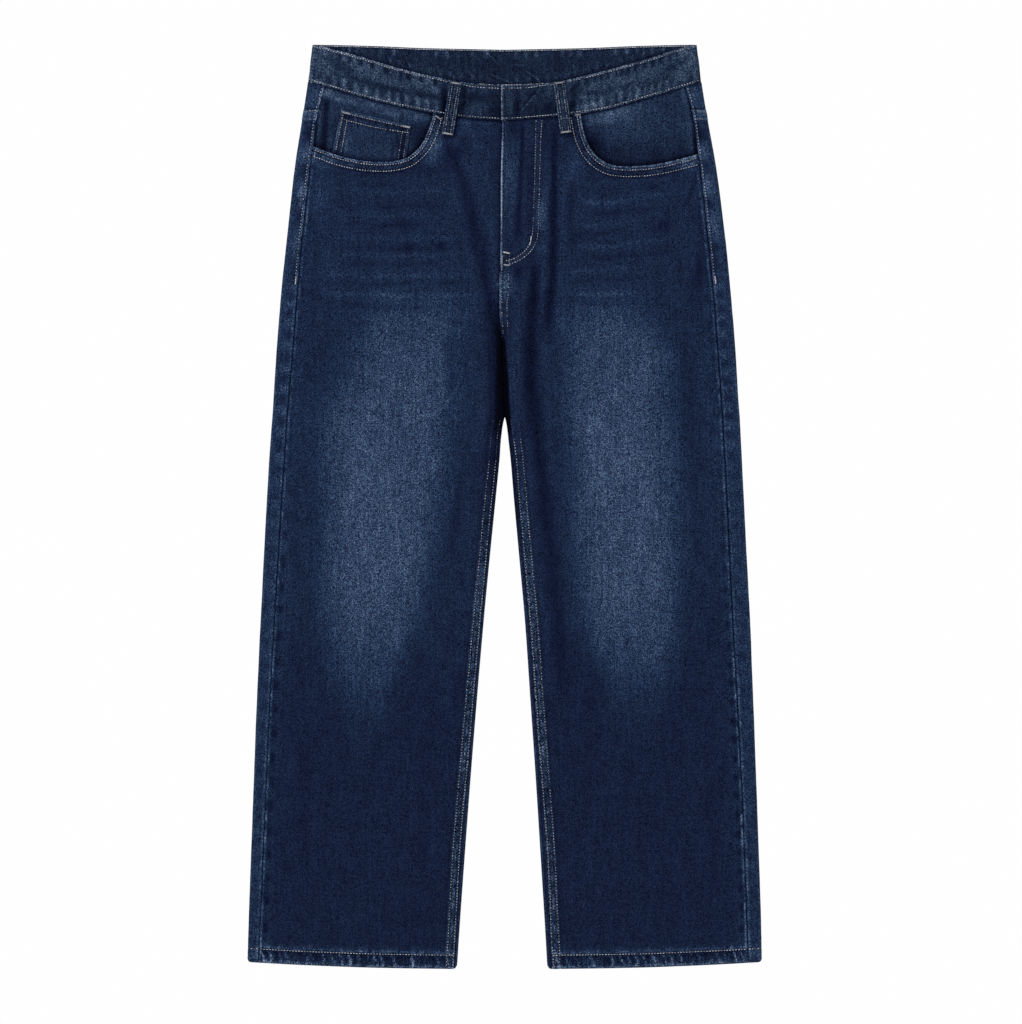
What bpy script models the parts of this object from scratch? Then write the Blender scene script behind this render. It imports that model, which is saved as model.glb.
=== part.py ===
"""Straight leg jeans, laid flat with the front up.

+X is the wearer's left, +Y runs up to the waist, +Z up; the underside rests on z = 0.
All sizes below are in millimetres. Each cut piece is one object: an open sheet that
follows the flattened tube of the leg, hip or waistband, given its wall by Solidify.
Pieces meet edge to edge with SEAM_GAP between them, and pieces that lie on others are
lifted clear of them by the same gap.
"""

import math

import bmesh
import bpy
from mathutils import Vector
from mathutils.geometry import delaunay_2d_cdt

MM = 0.001
SEAM_GAP = 0.3        # between two pieces that are sewn together
CLOTH = 1.2           # denim wall
HEM_WALL = 2.2        # turned-up hem, pressed
HEM_TOP = -493.0      # y where the turned-up hem ends
BAND_WALL = 2.4       # folded waistband
LOOP_WALL = 2.0       # folded belt loop strip
LOOP_WIDE = 13.2
BACK_LOOP_WALL = 1.2
BACK_LOOP_FROM, BACK_LOOP_TO = 448.0, 504.0
LEG_HIGH, HIP_HIGH = 5.8, 8.0   # outside height of the flattened tube
SEAT_LIFT = 1.5       # seat held up by the patch pockets and loops that lie under it
BAND_HIGH = 8.6       # the waistband stands proud of the fronts
FOLD_IN = 2.8         # outside radius of the inner leg fold
CROTCH_Y = 187.0      # inseams, centre front seam and seat seam meet here
SEAT_FLAT_Y = 206.0   # above this the seat seam lies flat underneath
PANEL_SPLIT_Y = 300.0  # rows are level below this line and follow the upper seams above it
FACING_TUCK = 14.0    # how far a pocket facing runs on under the front
COIN_TUCK = 8.0
CENTRE = (-0.1, 0.05)  # middle of the outline, moved to the origin

# Flattened outline: outer edge of each leg, the line midway between the legs (the seat
# seam above the crotch) and the space between the legs.
OUTLINE_COLUMNS = ("y", "out_l", "out_r", "mid", "apart")
OUTLINE = (
    (508.0, -211.5, 211.0, 0.0, 0.3),
    (463.5, -216.4, 216.4, 0.0, 0.3),
    (425.0, -222.3, 222.8, 0.0, 0.3),
    (375.5, -230.0, 231.6, -0.2, 0.3),
    (326.0, -235.7, 238.4, -0.5, 0.3),
    (276.5, -241.0, 244.1, -1.6, 0.3),
    (244.6, -244.5, 247.2, -2.4, 0.3),
    (188.5, -249.1, 252.0, -3.4, 0.3),
    (144.5, -252.2, 254.9, -2.0, 0.3),
    (120.0, -253.8, 256.4, -0.9, 0.3),
    (99.0, -255.0, 257.9, -0.1, 0.4),
    (95.0, -255.3, 258.1, 0.05, 3.2),
    (88.0, -255.9, 258.5, 0.0, 6.0),
    (73.0, -257.1, 259.3, -0.05, 9.6),
    (51.0, -258.6, 260.4, 0.4, 13.6),
    (7.0, -261.2, 262.6, 0.05, 21.7),
    (-59.0, -264.7, 265.9, -0.25, 34.3),
    (-125.0, -268.0, 269.4, -0.45, 46.5),
    (-213.0, -272.2, 272.9, -1.2, 60.2),
    (-301.0, -275.5, 276.2, -1.75, 73.3),
    (-389.0, -278.8, 279.3, -2.3, 85.4),
    (-466.0, -281.4, 281.7, -2.65, 95.7),
    (-508.0, -282.6, 282.4, -2.8, 100.8),
)

# Outseams, which lie on the front side because the backs wrap round the outer folds.
OUTSEAM_COLUMNS = ("y", "seam_l", "seam_r")
OUTSEAM = (
    (470.0, -195.0, 195.6),
    (460.0, -197.7, 198.5),
    (436.0, -204.1, 205.3),
    (425.0, -206.4, 207.2),
    (400.0, -209.8, 210.5),
    (370.0, -214.2, 214.8),
    (325.0, -219.4, 220.3),
    (282.0, -224.0, 224.8),
    (228.0, -228.4, 230.1),
    (166.5, -233.1, 234.8),
    (100.5, -239.0, 239.4),
    (46.6, -242.5, 242.4),
    (-15.0, -246.5, 245.5),
    (-70.0, -249.9, 248.1),
    (-125.0, -253.2, 250.7),
    (-179.0, -256.3, 253.9),
    (-289.0, -261.5, 259.7),
    (-378.0, -265.2, 263.6),
    (-508.0, -270.8, 267.8),
)

# Centre front seam and fly edge.
FRONT_SEAM_COLUMNS = ("y", "x")
FRONT_SEAM = (
    (508.0, -3.9), (463.5, -3.9), (425.0, -2.1), (359.0, -3.5), (293.0, -3.8),
    (268.8, -4.2), (250.0, -5.0), (220.0, -5.1), (187.0, -3.6), (150.0, -2.4),
)

# How far the inseam lies in from the inner leg fold, and the radius of that fold's top.
INSEAM_COLUMNS = ("y", "in_from_fold", "top_radius")
INSEAM = (
    (240.0, 1.9, 1.5), (187.0, 1.9, 1.5), (145.0, 2.8, 1.9), (97.0, 3.6, 2.8),
    (40.0, 4.0, 2.8), (-60.0, 4.0, 2.8), (-280.0, 4.6, 2.8), (-378.0, 6.0, 2.8),
    (-460.0, 4.7, 2.8), (-508.0, 4.5, 2.8),
)

# Lower and upper edge of the front of the waistband, and both edges of its back.
BAND_LOW_COLUMNS = ("x", "y")
BAND_LOW = (
    (-217.0, 467.4), (-198.1, 461.9), (-175.6, 455.0), (-140.5, 445.2),
    (-114.7, 439.3), (-81.0, 432.5), (-50.8, 427.5), (-2.7, 424.1), (43.2, 427.0),
    (74.3, 430.4), (105.3, 434.8), (156.3, 448.6), (197.4, 460.9), (217.0, 466.8),
)
BAND_UP_COLUMNS = ("x", "y")
BAND_UP = (
    (-211.5, 508.0), (-189.6, 502.4), (-161.5, 495.0), (-114.7, 480.8),
    (-76.0, 471.8), (-47.6, 466.2), (-2.7, 463.2), (49.1, 465.3), (82.8, 472.0),
    (119.8, 481.4), (156.3, 491.5), (192.8, 503.3), (211.5, 508.0),
)
BAND_BACK_COLUMNS = ("from_middle", "low", "up")
BAND_BACK = (
    (0.0, 462.6, 502.3), (90.0, 463.5, 504.2), (140.0, 464.6, 506.3),
    (180.0, 465.8, 507.4), (218.0, 467.0, 508.0),
)

# Yoke seam, lowest at the seat seam.
YOKE_COLUMNS = ("from_middle", "y")
YOKE = ((0.0, 396.0), (217.0, 436.0), (240.0, 436.0))

# Curved edges of the two front pockets, from the outseam to the waistband.
POCKET_COLUMNS = ("x_l", "y_l", "x_r", "y_r")
POCKET = (
    (-211.0, 395.3, 212.6, 387.2),
    (-197.7, 390.9, 201.0, 383.9),
    (-182.9, 385.4, 182.9, 379.3),
    (-157.6, 379.9, 164.6, 375.6),
    (-136.7, 378.3, 146.4, 373.8),
    (-119.5, 379.6, 129.1, 373.7),
    (-105.0, 384.4, 112.5, 377.0),
    (-91.5, 397.4, 98.0, 388.0),
    (-83.5, 414.4, 88.8, 405.2),
    (-78.4, 431.9, 83.3, 431.9),
)

# Coin pocket corners on the left facing: top left, top right, bottom right, bottom left.
COIN_COLUMNS = ("x", "y")
COIN = ((-179.8, 436.8), (-102.6, 418.4), (-109.0, 384.5), (-191.0, 390.9))

# Hem line: how much it rises towards the outseam, and over what height it fades out.
HEM_COLUMNS = ("from_middle", "rise")
HEM = ((45.0, 0.0), (116.0, 0.7), (156.0, 1.5), (193.0, 3.1), (228.0, 5.0), (283.0, 8.4))
HEM_FADE = 110.0

# Front belt loops: middle of the top end and of the bottom end.
LOOP_COLUMNS = ("name", "top_x", "top_y", "foot_x", "foot_y")
LOOPS = (
    ("belt_loop_front_l", -53.6, 466.4, -63.1, 407.4),
    ("belt_loop_front_r", 59.8, 466.9, 67.4, 409.3),
)
BACK_LOOP_COLUMNS = ("name", "x")
BACK_LOOPS = (
    ("belt_loop_back_l", -116.0), ("belt_loop_back_c", 0.0), ("belt_loop_back_r", 116.0),
)

# Patch pocket outline, from its upper outer corner round by the inner side.
PATCH_COLUMNS = ("from_middle", "y")
PATCH = ((190.0, 398.0), (44.0, 376.0), (56.0, 242.0), (116.0, 224.0), (178.0, 252.0))
PATCH_WALL = 1.2

# Level rows of every leg panel, from the hem up.
ROWS = (
    -508.0, HEM_TOP, HEM_TOP + 0.8, -445.0, -395.0, -345.0, -295.0, -245.0, -195.0,
    -145.0, -95.0, -45.0, 5.0, 40.0, 70.0, 97.0, 122.0, 154.0, 185.0,
    187.0, 190.0, 197.0, 206.0, 235.0, 268.0, PANEL_SPLIT_Y,
)
BACK_UPPER_ROWS = 7
FRONT_UPPER_ROWS = 5
FOLD_STEPS = 5        # round the outer fold
FLAT_STEPS = 4        # across the underside
INNER_STEPS = (3, 1, 2, 1)  # inner fold: lower bend, wall, upper bend, flange
FRONT_STEPS = (8, 3)  # along the pocket edge, along the waistband
BAND_STEPS = (12, 5, 11)     # half the front, one fold, the back
YOKE_STEPS = 3

DENIM = (0.017, 0.030, 0.068, 1.0)
DENIM_DARK = (0.011, 0.018, 0.040, 1.0)
DENIM_FADED = (0.026, 0.044, 0.088, 1.0)


# ---------------------------------------------------------------- small mathematics

def smooth(t):
    t = min(1.0, max(0.0, t))
    return t * t * (3.0 - 2.0 * t)


def column(table, names, name, key=None):
    """One named column of a table as (key, value) pairs in rising key order."""
    k = names.index(key) if key else 0
    return sorted((row[k], row[names.index(name)]) for row in table)


def along(pairs, x):
    """Smooth curve through the pairs with no overshoot, level beyond the ends."""
    if x <= pairs[0][0]:
        return pairs[0][1]
    if x >= pairs[-1][0]:
        return pairs[-1][1]
    i = max(j for j in range(len(pairs) - 1) if pairs[j][0] <= x)

    def rise(j):
        return (pairs[j + 1][1] - pairs[j][1]) / (pairs[j + 1][0] - pairs[j][0])

    def slope(j):
        if j == 0:
            return rise(0)
        if j == len(pairs) - 1:
            return rise(j - 1)
        a, b = rise(j - 1), rise(j)
        return 0.0 if a * b <= 0.0 else 2.0 * a * b / (a + b)

    (x0, y0), (x1, y1) = pairs[i], pairs[i + 1]
    h = x1 - x0
    t = (x - x0) / h
    return (y0 * (1 + 2 * t) * (1 - t) ** 2 + slope(i) * h * t * (1 - t) ** 2
            + y1 * t * t * (3 - 2 * t) + slope(i + 1) * h * t * t * (t - 1))


OUT = {-1: column(OUTLINE, OUTLINE_COLUMNS, "out_l"), 1: column(OUTLINE, OUTLINE_COLUMNS, "out_r")}
MID = column(OUTLINE, OUTLINE_COLUMNS, "mid")
APART = column(OUTLINE, OUTLINE_COLUMNS, "apart")
SEAM = {-1: column(OUTSEAM, OUTSEAM_COLUMNS, "seam_l"), 1: column(OUTSEAM, OUTSEAM_COLUMNS, "seam_r")}
CENTRE_FRONT = column(FRONT_SEAM, FRONT_SEAM_COLUMNS, "x")
IN_FROM_FOLD = column(INSEAM, INSEAM_COLUMNS, "in_from_fold")
TOP_RADIUS = column(INSEAM, INSEAM_COLUMNS, "top_radius")
LOW_EDGE = column(BAND_LOW, BAND_LOW_COLUMNS, "y")
UP_EDGE = column(BAND_UP, BAND_UP_COLUMNS, "y")
BACK_LOW = column(BAND_BACK, BAND_BACK_COLUMNS, "low")
BACK_UP = column(BAND_BACK, BAND_BACK_COLUMNS, "up")
YOKE_LINE = list(YOKE)
HEM_RISE = list(HEM)


def high(y):
    """Outside height of the flattened tube."""
    return LEG_HIGH + (HIP_HIGH - LEG_HIGH) * smooth((y - 80.0) / 180.0)


def low(y):
    """Height of the underside: the seat lies on its patch pockets."""
    return SEAT_LIFT * smooth((y - 120.0) / 90.0)


def outer(side, y):
    return side * along(OUT[side], y)


def inner(side, y):
    """Distance of the inner leg fold, or of the seat seam, from x = 0 on this side."""
    return side * along(MID, y) + 0.5 * along(APART, y)


def seam(side, y):
    return side * along(SEAM[side], y)


def hem_shift(x, y):
    return along(HEM_RISE, abs(x)) * max(0.0, 1.0 - (y + 508.0) / HEM_FADE)


def band_low(side, a, under):
    """Lower edge of the waistband at distance a from the middle; under runs from 0 on
    the front to 1 on the back."""
    return (1.0 - under) * along(LOW_EDGE, side * a) + under * along(BACK_LOW, a)


def band_up(side, a, under):
    return (1.0 - under) * along(UP_EDGE, side * a) + under * along(BACK_UP, a)


def polyline(points, count):
    """A smooth line through the points, read at count + 1 even steps."""
    fine = []
    last = len(points) - 1
    for i in range(last):
        p0, p1 = points[max(0, i - 1)], points[i]
        p2, p3 = points[i + 1], points[min(last, i + 2)]
        for k in range(8):
            t = k / 8.0
            fine.append(tuple(
                0.5 * (2 * b + (c - a) * t + (2 * a - 5 * b + 4 * c - d) * t * t
                       + (3 * b - a - 3 * c + d) * t ** 3)
                for a, b, c, d in zip(p0, p1, p2, p3)))
    fine.append(tuple(points[-1]))
    run = [0.0]
    for a, b in zip(fine, fine[1:]):
        run.append(run[-1] + math.dist(a, b))
    out = []
    for k in range(count + 1):
        want = run[-1] * k / count
        j = min(len(fine) - 2, max(0, sum(1 for r in run if r < want) - 1))
        t = (want - run[j]) / max(1e-9, run[j + 1] - run[j])
        out.append(tuple(a + (b - a) * t for a, b in zip(fine[j], fine[j + 1])))
    return out


def pocket_edge(side, count):
    names = ("x_l", "y_l") if side < 0 else ("x_r", "y_r")
    ix, iy = POCKET_COLUMNS.index(names[0]), POCKET_COLUMNS.index(names[1])
    points = [(row[ix], row[iy]) for row in POCKET]
    end_x = points[-1][0]
    points[-1] = (end_x, along(LOW_EDGE, end_x) - SEAM_GAP)
    points[0] = (side * (seam(side, points[0][1]) - 0.5 * SEAM_GAP), points[0][1])
    return polyline(points, count)


# ---------------------------------------------------------------- the flattened tube

def inner_profile(side, y):
    """The back's inner end, from the flat underside on: (distance, height) points."""
    a, z0, z1 = inner(side, y), low(y), high(y)
    radius, top = FOLD_IN, along(TOP_RADIUS, y)
    n_low, n_wall, n_top, n_flange = INNER_STEPS
    cells = sum(INNER_STEPS)
    if y < CROTCH_Y - 0.5:
        pts = []
        for i in range(n_low + 1):
            t = 0.5 * math.pi * i / n_low
            pts.append((a + radius - radius * math.sin(t), z0 + radius - radius * math.cos(t)))
        for i in range(n_top + 1):
            t = 0.5 * math.pi * i / n_top
            pts.append((a + top - top * math.cos(t), z1 - top + top * math.sin(t)))
        pts.append((a + along(IN_FROM_FOLD, y) - 0.5 * SEAM_GAP, z1))
        return pts
    if y < SEAT_FLAT_Y - 0.5:
        # The seat seam comes down from the crotch to the underside.
        done = (y - CROTCH_Y) / (SEAT_FLAT_Y - CROTCH_Y)
        turn = 0.5 * math.pi * (1.0 - smooth((done - 0.5) / 0.5) * 0.95)
        wall = (z1 - CLOTH - 2.0 * SEAM_GAP - z0 - radius) * max(0.0, 1.0 - done / 0.5)
        bend = radius * turn
        pts = []
        for i in range(cells + 1):
            d = (bend + wall) * i / cells
            t = min(d, bend) / radius
            pts.append((a + radius * (math.sin(turn) - math.sin(t)),
                        z0 + radius * (1.0 - math.cos(t)) + max(0.0, d - bend)))
        return pts
    return [(a + radius * (1.0 - i / cells), z0) for i in range(cells + 1)]


def back_path(side, y):
    """Section of a back at y, from the outseam round the outer fold, across the
    underside and up the inner fold: (distance from x = 0, height) points."""
    z0, z1 = low(y), high(y)
    radius = 0.5 * (z1 - z0)
    edge = outer(side, y) - radius
    pts = [(seam(side, y) + 0.5 * SEAM_GAP, z1)]
    for i in range(FOLD_STEPS + 1):
        t = math.pi * i / FOLD_STEPS
        pts.append((edge + radius * math.sin(t), z0 + radius + radius * math.cos(t)))
    end = inner_profile(side, y)
    for i in range(1, FLAT_STEPS):
        pts.append((edge + (end[0][0] - edge) * i / FLAT_STEPS, z0))
    return pts + end


def under_share(index):
    """0 on the front side of the outer fold, 1 on the underside."""
    return min(1.0, max(0.0, (index - 1) / FOLD_STEPS))


def yoke_line(side, index):
    a = back_path(side, 425.0)[index][0]
    return along(YOKE_LINE, a if index > FOLD_STEPS else 217.0)


def front_end(side, y):
    """Inner edge of a front on this side: the inseam, or the centre front seam."""
    if y < CROTCH_Y + 0.5:
        return inner(side, y) + along(IN_FROM_FOLD, y) + 0.5 * SEAM_GAP
    return side * along(CENTRE_FRONT, y) + 0.5 * SEAM_GAP


def front_edge(side, y):
    return seam(side, y) - 0.5 * SEAM_GAP


# ---------------------------------------------------------------- making the objects

def clear_scene():
    for item in list(bpy.data.objects):
        bpy.data.objects.remove(item, do_unlink=True)


def material(name, color, roughness):
    mat = bpy.data.materials.new(name)
    mat.use_nodes = True
    shader = mat.node_tree.nodes["Principled BSDF"]
    shader.inputs["Base Color"].default_value = color
    shader.inputs["Roughness"].default_value = roughness
    shader.inputs["Metallic"].default_value = 0.0
    return mat


def place(name, mesh, color, holder, parent):
    """Puts the mesh's own origin at its middle and stands the object there."""
    mesh.name = name
    lows = Vector(min(v.co[k] for v in mesh.vertices) for k in range(3))
    highs = Vector(max(v.co[k] for v in mesh.vertices) for k in range(3))
    middle = (lows + highs) * 0.5
    for v in mesh.vertices:
        v.co -= middle
    obj = bpy.data.objects.new(name, mesh)
    holder.objects.link(obj)
    obj.parent = parent
    obj.location = middle
    mesh.materials.append(material(name, color, 0.88))
    return obj


def to_world(x, y, z):
    return Vector(((x - CENTRE[0]) * MM, (y - CENTRE[1]) * MM, z * MM))


def turn_outwards(bm, middle_z):
    """Makes the faces look away from the middle of the flattened garment."""
    bm.normal_update()
    score = sum(f.normal.z * f.calc_area() * (f.calc_center_median().z - middle_z * MM)
                for f in bm.faces)
    if score < 0.0:
        bmesh.ops.reverse_faces(bm, faces=bm.faces[:])


def give_wall(obj, wall, layers=None):
    """Adds cloth on the inner side of the sheet. layers gives each vertex its share of
    the wall, where it isn't the whole."""
    mod = obj.modifiers.new("wall", "SOLIDIFY")
    mod.thickness = wall * MM
    mod.offset = -1.0
    mod.use_even_offset = False
    if layers is not None:
        group = obj.vertex_groups.new(name="layers")
        for index, share in layers.items():
            group.add([index], share, "REPLACE")
        mod.vertex_group = "layers"
        mod.thickness_vertex_group = 0.0
    return obj


def grid_sheet(name, across, up, where, color, wall, holder, parent, middle_z=4.0, share=None):
    """A grid of across by up cells whose points are set by where(i, j). share(i, j) is the
    part of the wall that a point has, where it isn't the whole."""
    bm = bmesh.new()
    bmesh.ops.create_grid(bm, x_segments=across, y_segments=up, size=1.0)
    layers = {}
    for v in bm.verts:
        i = round((v.co.x + 1.0) * 0.5 * across)
        j = round((v.co.y + 1.0) * 0.5 * up)
        v.co = to_world(*where(i, j))
        layers[v.index] = share(i, j) if share else 1.0
    turn_outwards(bm, middle_z)
    mesh = bpy.data.meshes.new(name)
    bm.to_mesh(mesh)
    bm.free()
    obj = place(name, mesh, color, holder, parent)
    return give_wall(obj, wall, layers if share else None)


def patch_sheet(name, outline, lines, step, height, color, wall, holder, parent):
    """A sheet cut to an outline, with edges along the given lines and points every step
    inside, whose height is height(x, y)."""
    points = [Vector(p) for p in outline]
    edges = [(k, (k + 1) % len(outline)) for k in range(len(outline))]
    for line in lines:
        first = len(points)
        points += [Vector(p) for p in line]
        edges += [(first + k, first + k + 1) for k in range(len(line) - 1)]
    xs, ys = [p[0] for p in outline], [p[1] for p in outline]
    rim = [Vector(p) for p in outline] + [Vector(p) for line in lines for p in line]
    for i in range(1, int((max(xs) - min(xs)) / step) + 1):
        for j in range(1, int((max(ys) - min(ys)) / step) + 1):
            p = Vector((min(xs) + i * step, min(ys) + j * step))
            if all((p - q).length > 0.6 * step for q in rim):
                points.append(p)
    verts, _, faces, _, _, _ = delaunay_2d_cdt(
        points, edges, [list(range(len(outline)))], 2, 1e-5)
    mesh = bpy.data.meshes.new(name)
    mesh.from_pydata([to_world(p.x, p.y, height(p.x, p.y)) for p in verts], [], faces)
    bm = bmesh.new()
    bm.from_mesh(mesh)
    bmesh.ops.delete(bm, geom=[v for v in bm.verts if not v.link_faces], context="VERTS")
    # The wall goes straight down, so that the cut edges stay clear of their neighbours.
    new = bmesh.ops.extrude_face_region(bm, geom=bm.faces[:], use_keep_orig=True)
    bmesh.ops.translate(bm, vec=Vector((0.0, 0.0, -wall * MM)),
                        verts=[v for v in new["geom"] if isinstance(v, bmesh.types.BMVert)])
    bmesh.ops.recalc_face_normals(bm, faces=bm.faces[:])
    bm.to_mesh(mesh)
    bm.free()
    return place(name, mesh, color, holder, parent)


def flat_outline(name, corners, z0, wall, color, holder, parent):
    """A flat piece from a filled curve outline, lying from z0 up."""
    curve = bpy.data.curves.new(name, "CURVE")
    curve.dimensions = "2D"
    curve.fill_mode = "BOTH"
    curve.extrude = 0.5 * wall * MM
    spline = curve.splines.new("POLY")
    spline.points.add(len(corners) - 1)
    spline.use_cyclic_u = True
    centre = to_world(sum(c[0] for c in corners) / len(corners),
                      sum(c[1] for c in corners) / len(corners), z0 + 0.5 * wall)
    for point, corner in zip(spline.points, corners):
        at = to_world(corner[0], corner[1], z0 + 0.5 * wall) - centre
        point.co = (at.x, at.y, 0.0, 1.0)
    obj = bpy.data.objects.new(name, curve)
    holder.objects.link(obj)
    obj.parent = parent
    obj.location = centre
    curve.materials.append(material(name, color, 0.88))
    return obj


# ---------------------------------------------------------------- the cut pieces

def hem_share(row):
    return 1.0 if row < 2 else CLOTH / HEM_WALL


def make_back(side, tag, holder, parent):
    count = len(ROWS) - 1 + BACK_UPPER_ROWS
    across = len(back_path(side, 0.0)) - 1
    tops = [yoke_line(side, i) - 0.5 * SEAM_GAP for i in range(across + 1)]

    def where(i, j):
        if j < len(ROWS):
            y = ROWS[j]
        else:
            t = (j - len(ROWS) + 1) / BACK_UPPER_ROWS
            y = PANEL_SPLIT_Y + (tops[i] - PANEL_SPLIT_Y) * t
        a, z = back_path(side, y)[i]
        return side * a, y + hem_shift(a, y), z

    def share(i, j):
        # One layer above the hem, and pared down where the seams meet at the crotch.
        if j < len(ROWS) and abs(ROWS[j] - CROTCH_Y) < 2.5 and i > across - 4:
            return 0.5 * CLOTH / HEM_WALL
        return hem_share(j)

    grid_sheet("back_panel_" + tag, across, count, where, DENIM_DARK, HEM_WALL,
               holder, parent, share=share)


def make_yoke(side, tag, holder, parent):
    across = len(back_path(side, 0.0)) - 1

    def where(i, j):
        bottom = yoke_line(side, i) + 0.5 * SEAM_GAP
        reach = seam(side, 462.0) if i == 0 else back_path(side, 463.0)[i][0]
        turn = under_share(i)
        top = band_low(side, reach, turn) - SEAM_GAP * (1.6 + math.sin(math.pi * turn))
        y = bottom + (top - bottom) * j / YOKE_STEPS
        a, z = back_path(side, y)[i]
        return side * a, y, z

    grid_sheet("yoke_" + tag, across, YOKE_STEPS, where, DENIM, CLOTH, holder, parent)


def make_front(side, tag, holder, parent):
    n_pocket, n_band = FRONT_STEPS
    across = n_pocket + n_band
    edge = pocket_edge(side, n_pocket)
    end_a = abs(edge[-1][0])
    end_y = along(LOW_EDGE, side * front_end(side, 425.0)) - SEAM_GAP
    last = front_end(side, end_y)
    top = list(edge)
    for k in range(1, n_band + 1):
        a = end_a + (last - end_a) * k / n_band
        top.append((side * a, along(LOW_EDGE, side * a) - SEAM_GAP))

    def level(i, y):
        a = front_edge(side, y) + (front_end(side, y) - front_edge(side, y)) * i / across
        return side * a, y

    def where(i, j):
        if j < len(ROWS):
            x, y = level(i, ROWS[j])
            return x, y + hem_shift(x, y), high(y)
        # Above the split the rows turn to follow the pocket edge and the waistband.
        t, s = (j - len(ROWS) + 1) / FRONT_UPPER_ROWS, i / across
        x0, y0 = level(i, PANEL_SPLIT_Y)
        x1, y1 = top[i]
        ends = []
        for k, edge_of in ((0, front_edge), (across, front_end)):
            ya = PANEL_SPLIT_Y + (top[k][1] - PANEL_SPLIT_Y) * t
            straight = level(k, PANEL_SPLIT_Y)[0] * (1 - t) + top[k][0] * t
            ends.append(side * edge_of(side, ya) - straight)
        x = x0 * (1 - t) + x1 * t + ends[0] * (1 - s) + ends[1] * s
        y = y0 * (1 - t) + y1 * t
        return x, y, high(y)

    grid_sheet("front_panel_" + tag, across, len(ROWS) - 1 + FRONT_UPPER_ROWS, where, DENIM,
               HEM_WALL, holder, parent, share=lambda i, j: hem_share(j))


def facing_height(side, drop):
    """Top of a pocket facing. It lies drop below the front's top under the pocket edge,
    and rises to the seams that hold it at the outseam and the waistband."""
    line = [Vector(p) for p in pocket_edge(side, 40)]

    def height(x, y):
        p = Vector((x, y))
        near = min(range(len(line)), key=lambda k: (line[k] - p).length)
        a, b = line[max(0, near - 1)], line[min(len(line) - 1, near + 1)]
        across = (b - a).cross(p - a) * side * -1.0 / (b - a).length
        above = smooth((across - 0.5) / 9.0)
        to_side = 1.0 - smooth((front_edge(side, y) - side * x) / 13.0)
        to_band = 1.0 - smooth((along(LOW_EDGE, x) - SEAM_GAP - y) / 9.0)
        return high(y) - drop * (1.0 - above * max(to_side, to_band))

    return height


def facing_edge(side, y):
    return front_edge(side, y) - 0.5 * SEAM_GAP


def make_facing(side, tag, drop, holder, parent):
    edge = pocket_edge(side, 12)
    tucked = []
    for k, p in enumerate(edge[:-1]):
        a, b = edge[max(0, k - 1)], edge[k + 1]
        length = math.dist(a, b)
        nx, ny = -(b[1] - a[1]) / length * side, (b[0] - a[0]) / length * side
        q = (p[0] + nx * FACING_TUCK, p[1] + ny * FACING_TUCK)
        if k == 0:
            q = (side * facing_edge(side, p[1] - FACING_TUCK), p[1] - FACING_TUCK)
        tucked.append(q)
    in_x = edge[-1][0] - side * FACING_TUCK
    top_y = along(LOW_EDGE, side * facing_edge(side, 462.0)) - SEAM_GAP
    corner = (side * facing_edge(side, top_y), top_y)
    band = []
    for k in range(11):
        x = in_x + (corner[0] - in_x) * k / 10
        band.append((x, along(LOW_EDGE, x) - SEAM_GAP))
    down = []
    foot_y = tucked[0][1]
    for k in range(1, 6):
        y = corner[1] + (foot_y - corner[1]) * k / 6
        down.append((side * facing_edge(side, y), y))
    outline = tucked + band + down
    inside = [p for p in edge[1:-1]]
    patch_sheet("pocket_facing_" + tag, outline, [inside], 11.0,
                facing_height(side, drop), DENIM_FADED, CLOTH, holder, parent)


def make_coin_pocket(drop, holder, parent):
    (x0, y0), (x1, y1), (x2, y2), (x3, y3) = COIN
    across, up = 6, 3
    rise = CLOTH + SEAM_GAP
    ground = facing_height(-1, drop)
    base = ground(-140.0, 400.0) + rise

    def where(i, j):
        s, t = i / across, j / up
        top = (x0 + (x1 - x0) * s, y0 + (y1 - y0) * s)
        foot = (x3 + (x2 - x3) * s, y3 + (y2 - y3) * s - COIN_TUCK - 10.0 * math.sin(math.pi * s))
        return foot[0] + (top[0] - foot[0]) * t, foot[1] + (top[1] - foot[1]) * t, base

    grid_sheet("coin_pocket", across, up, where, DENIM_FADED, CLOTH, holder, parent,
               middle_z=0.0)


def make_waistband(holder, parent):
    half, fold, back = BAND_STEPS
    radius = 0.5 * (BAND_HIGH - SEAT_LIFT)
    middle = SEAT_LIFT + radius

    def reach(side, up):
        return outer(side, 508.0 if up else 466.0) - radius

    stations = []  # each is (lower point, upper point)
    for side in (1, -1):
        run = []
        for k in range(half + 1):
            pair = []
            for up in (False, True):
                start = side * along(CENTRE_FRONT, 463.5 if up else 424.5) + 0.5 * SEAM_GAP
                a = start + (reach(side, up) - start) * k / half
                y = (band_up if up else band_low)(side, a, 0.0)
                pair.append((side * a, y, BAND_HIGH))
            run.append(pair)
        for k in range(1, fold + 1):
            pair = []
            for up in (False, True):
                t = math.pi * k / fold
                a = reach(side, up)
                y = (band_up if up else band_low)(side, a, k / fold)
                pair.append((side * (a + radius * math.sin(t)), y,
                             middle + radius * math.cos(t)))
            run.append(pair)
        stations.append(run)
    right, left = stations
    across_back = []
    for k in range(1, back):
        pair = []
        for up in (False, True):
            x0, x1 = reach(1, up), -reach(-1, up)
            x = x0 + (x1 - x0) * k / back
            y = (band_up if up else band_low)(1, abs(x), 1.0)
            pair.append((x, y, SEAT_LIFT))
        across_back.append(pair)
    ring = right + across_back + left[::-1]
    up_steps = 2

    def where(i, j):
        low_point, up_point = ring[i]
        t = j / up_steps
        return tuple(a + (b - a) * t for a, b in zip(low_point, up_point))

    grid_sheet("waistband", len(ring) - 1, up_steps, where, DENIM_FADED, BAND_WALL,
               holder, parent)


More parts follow.
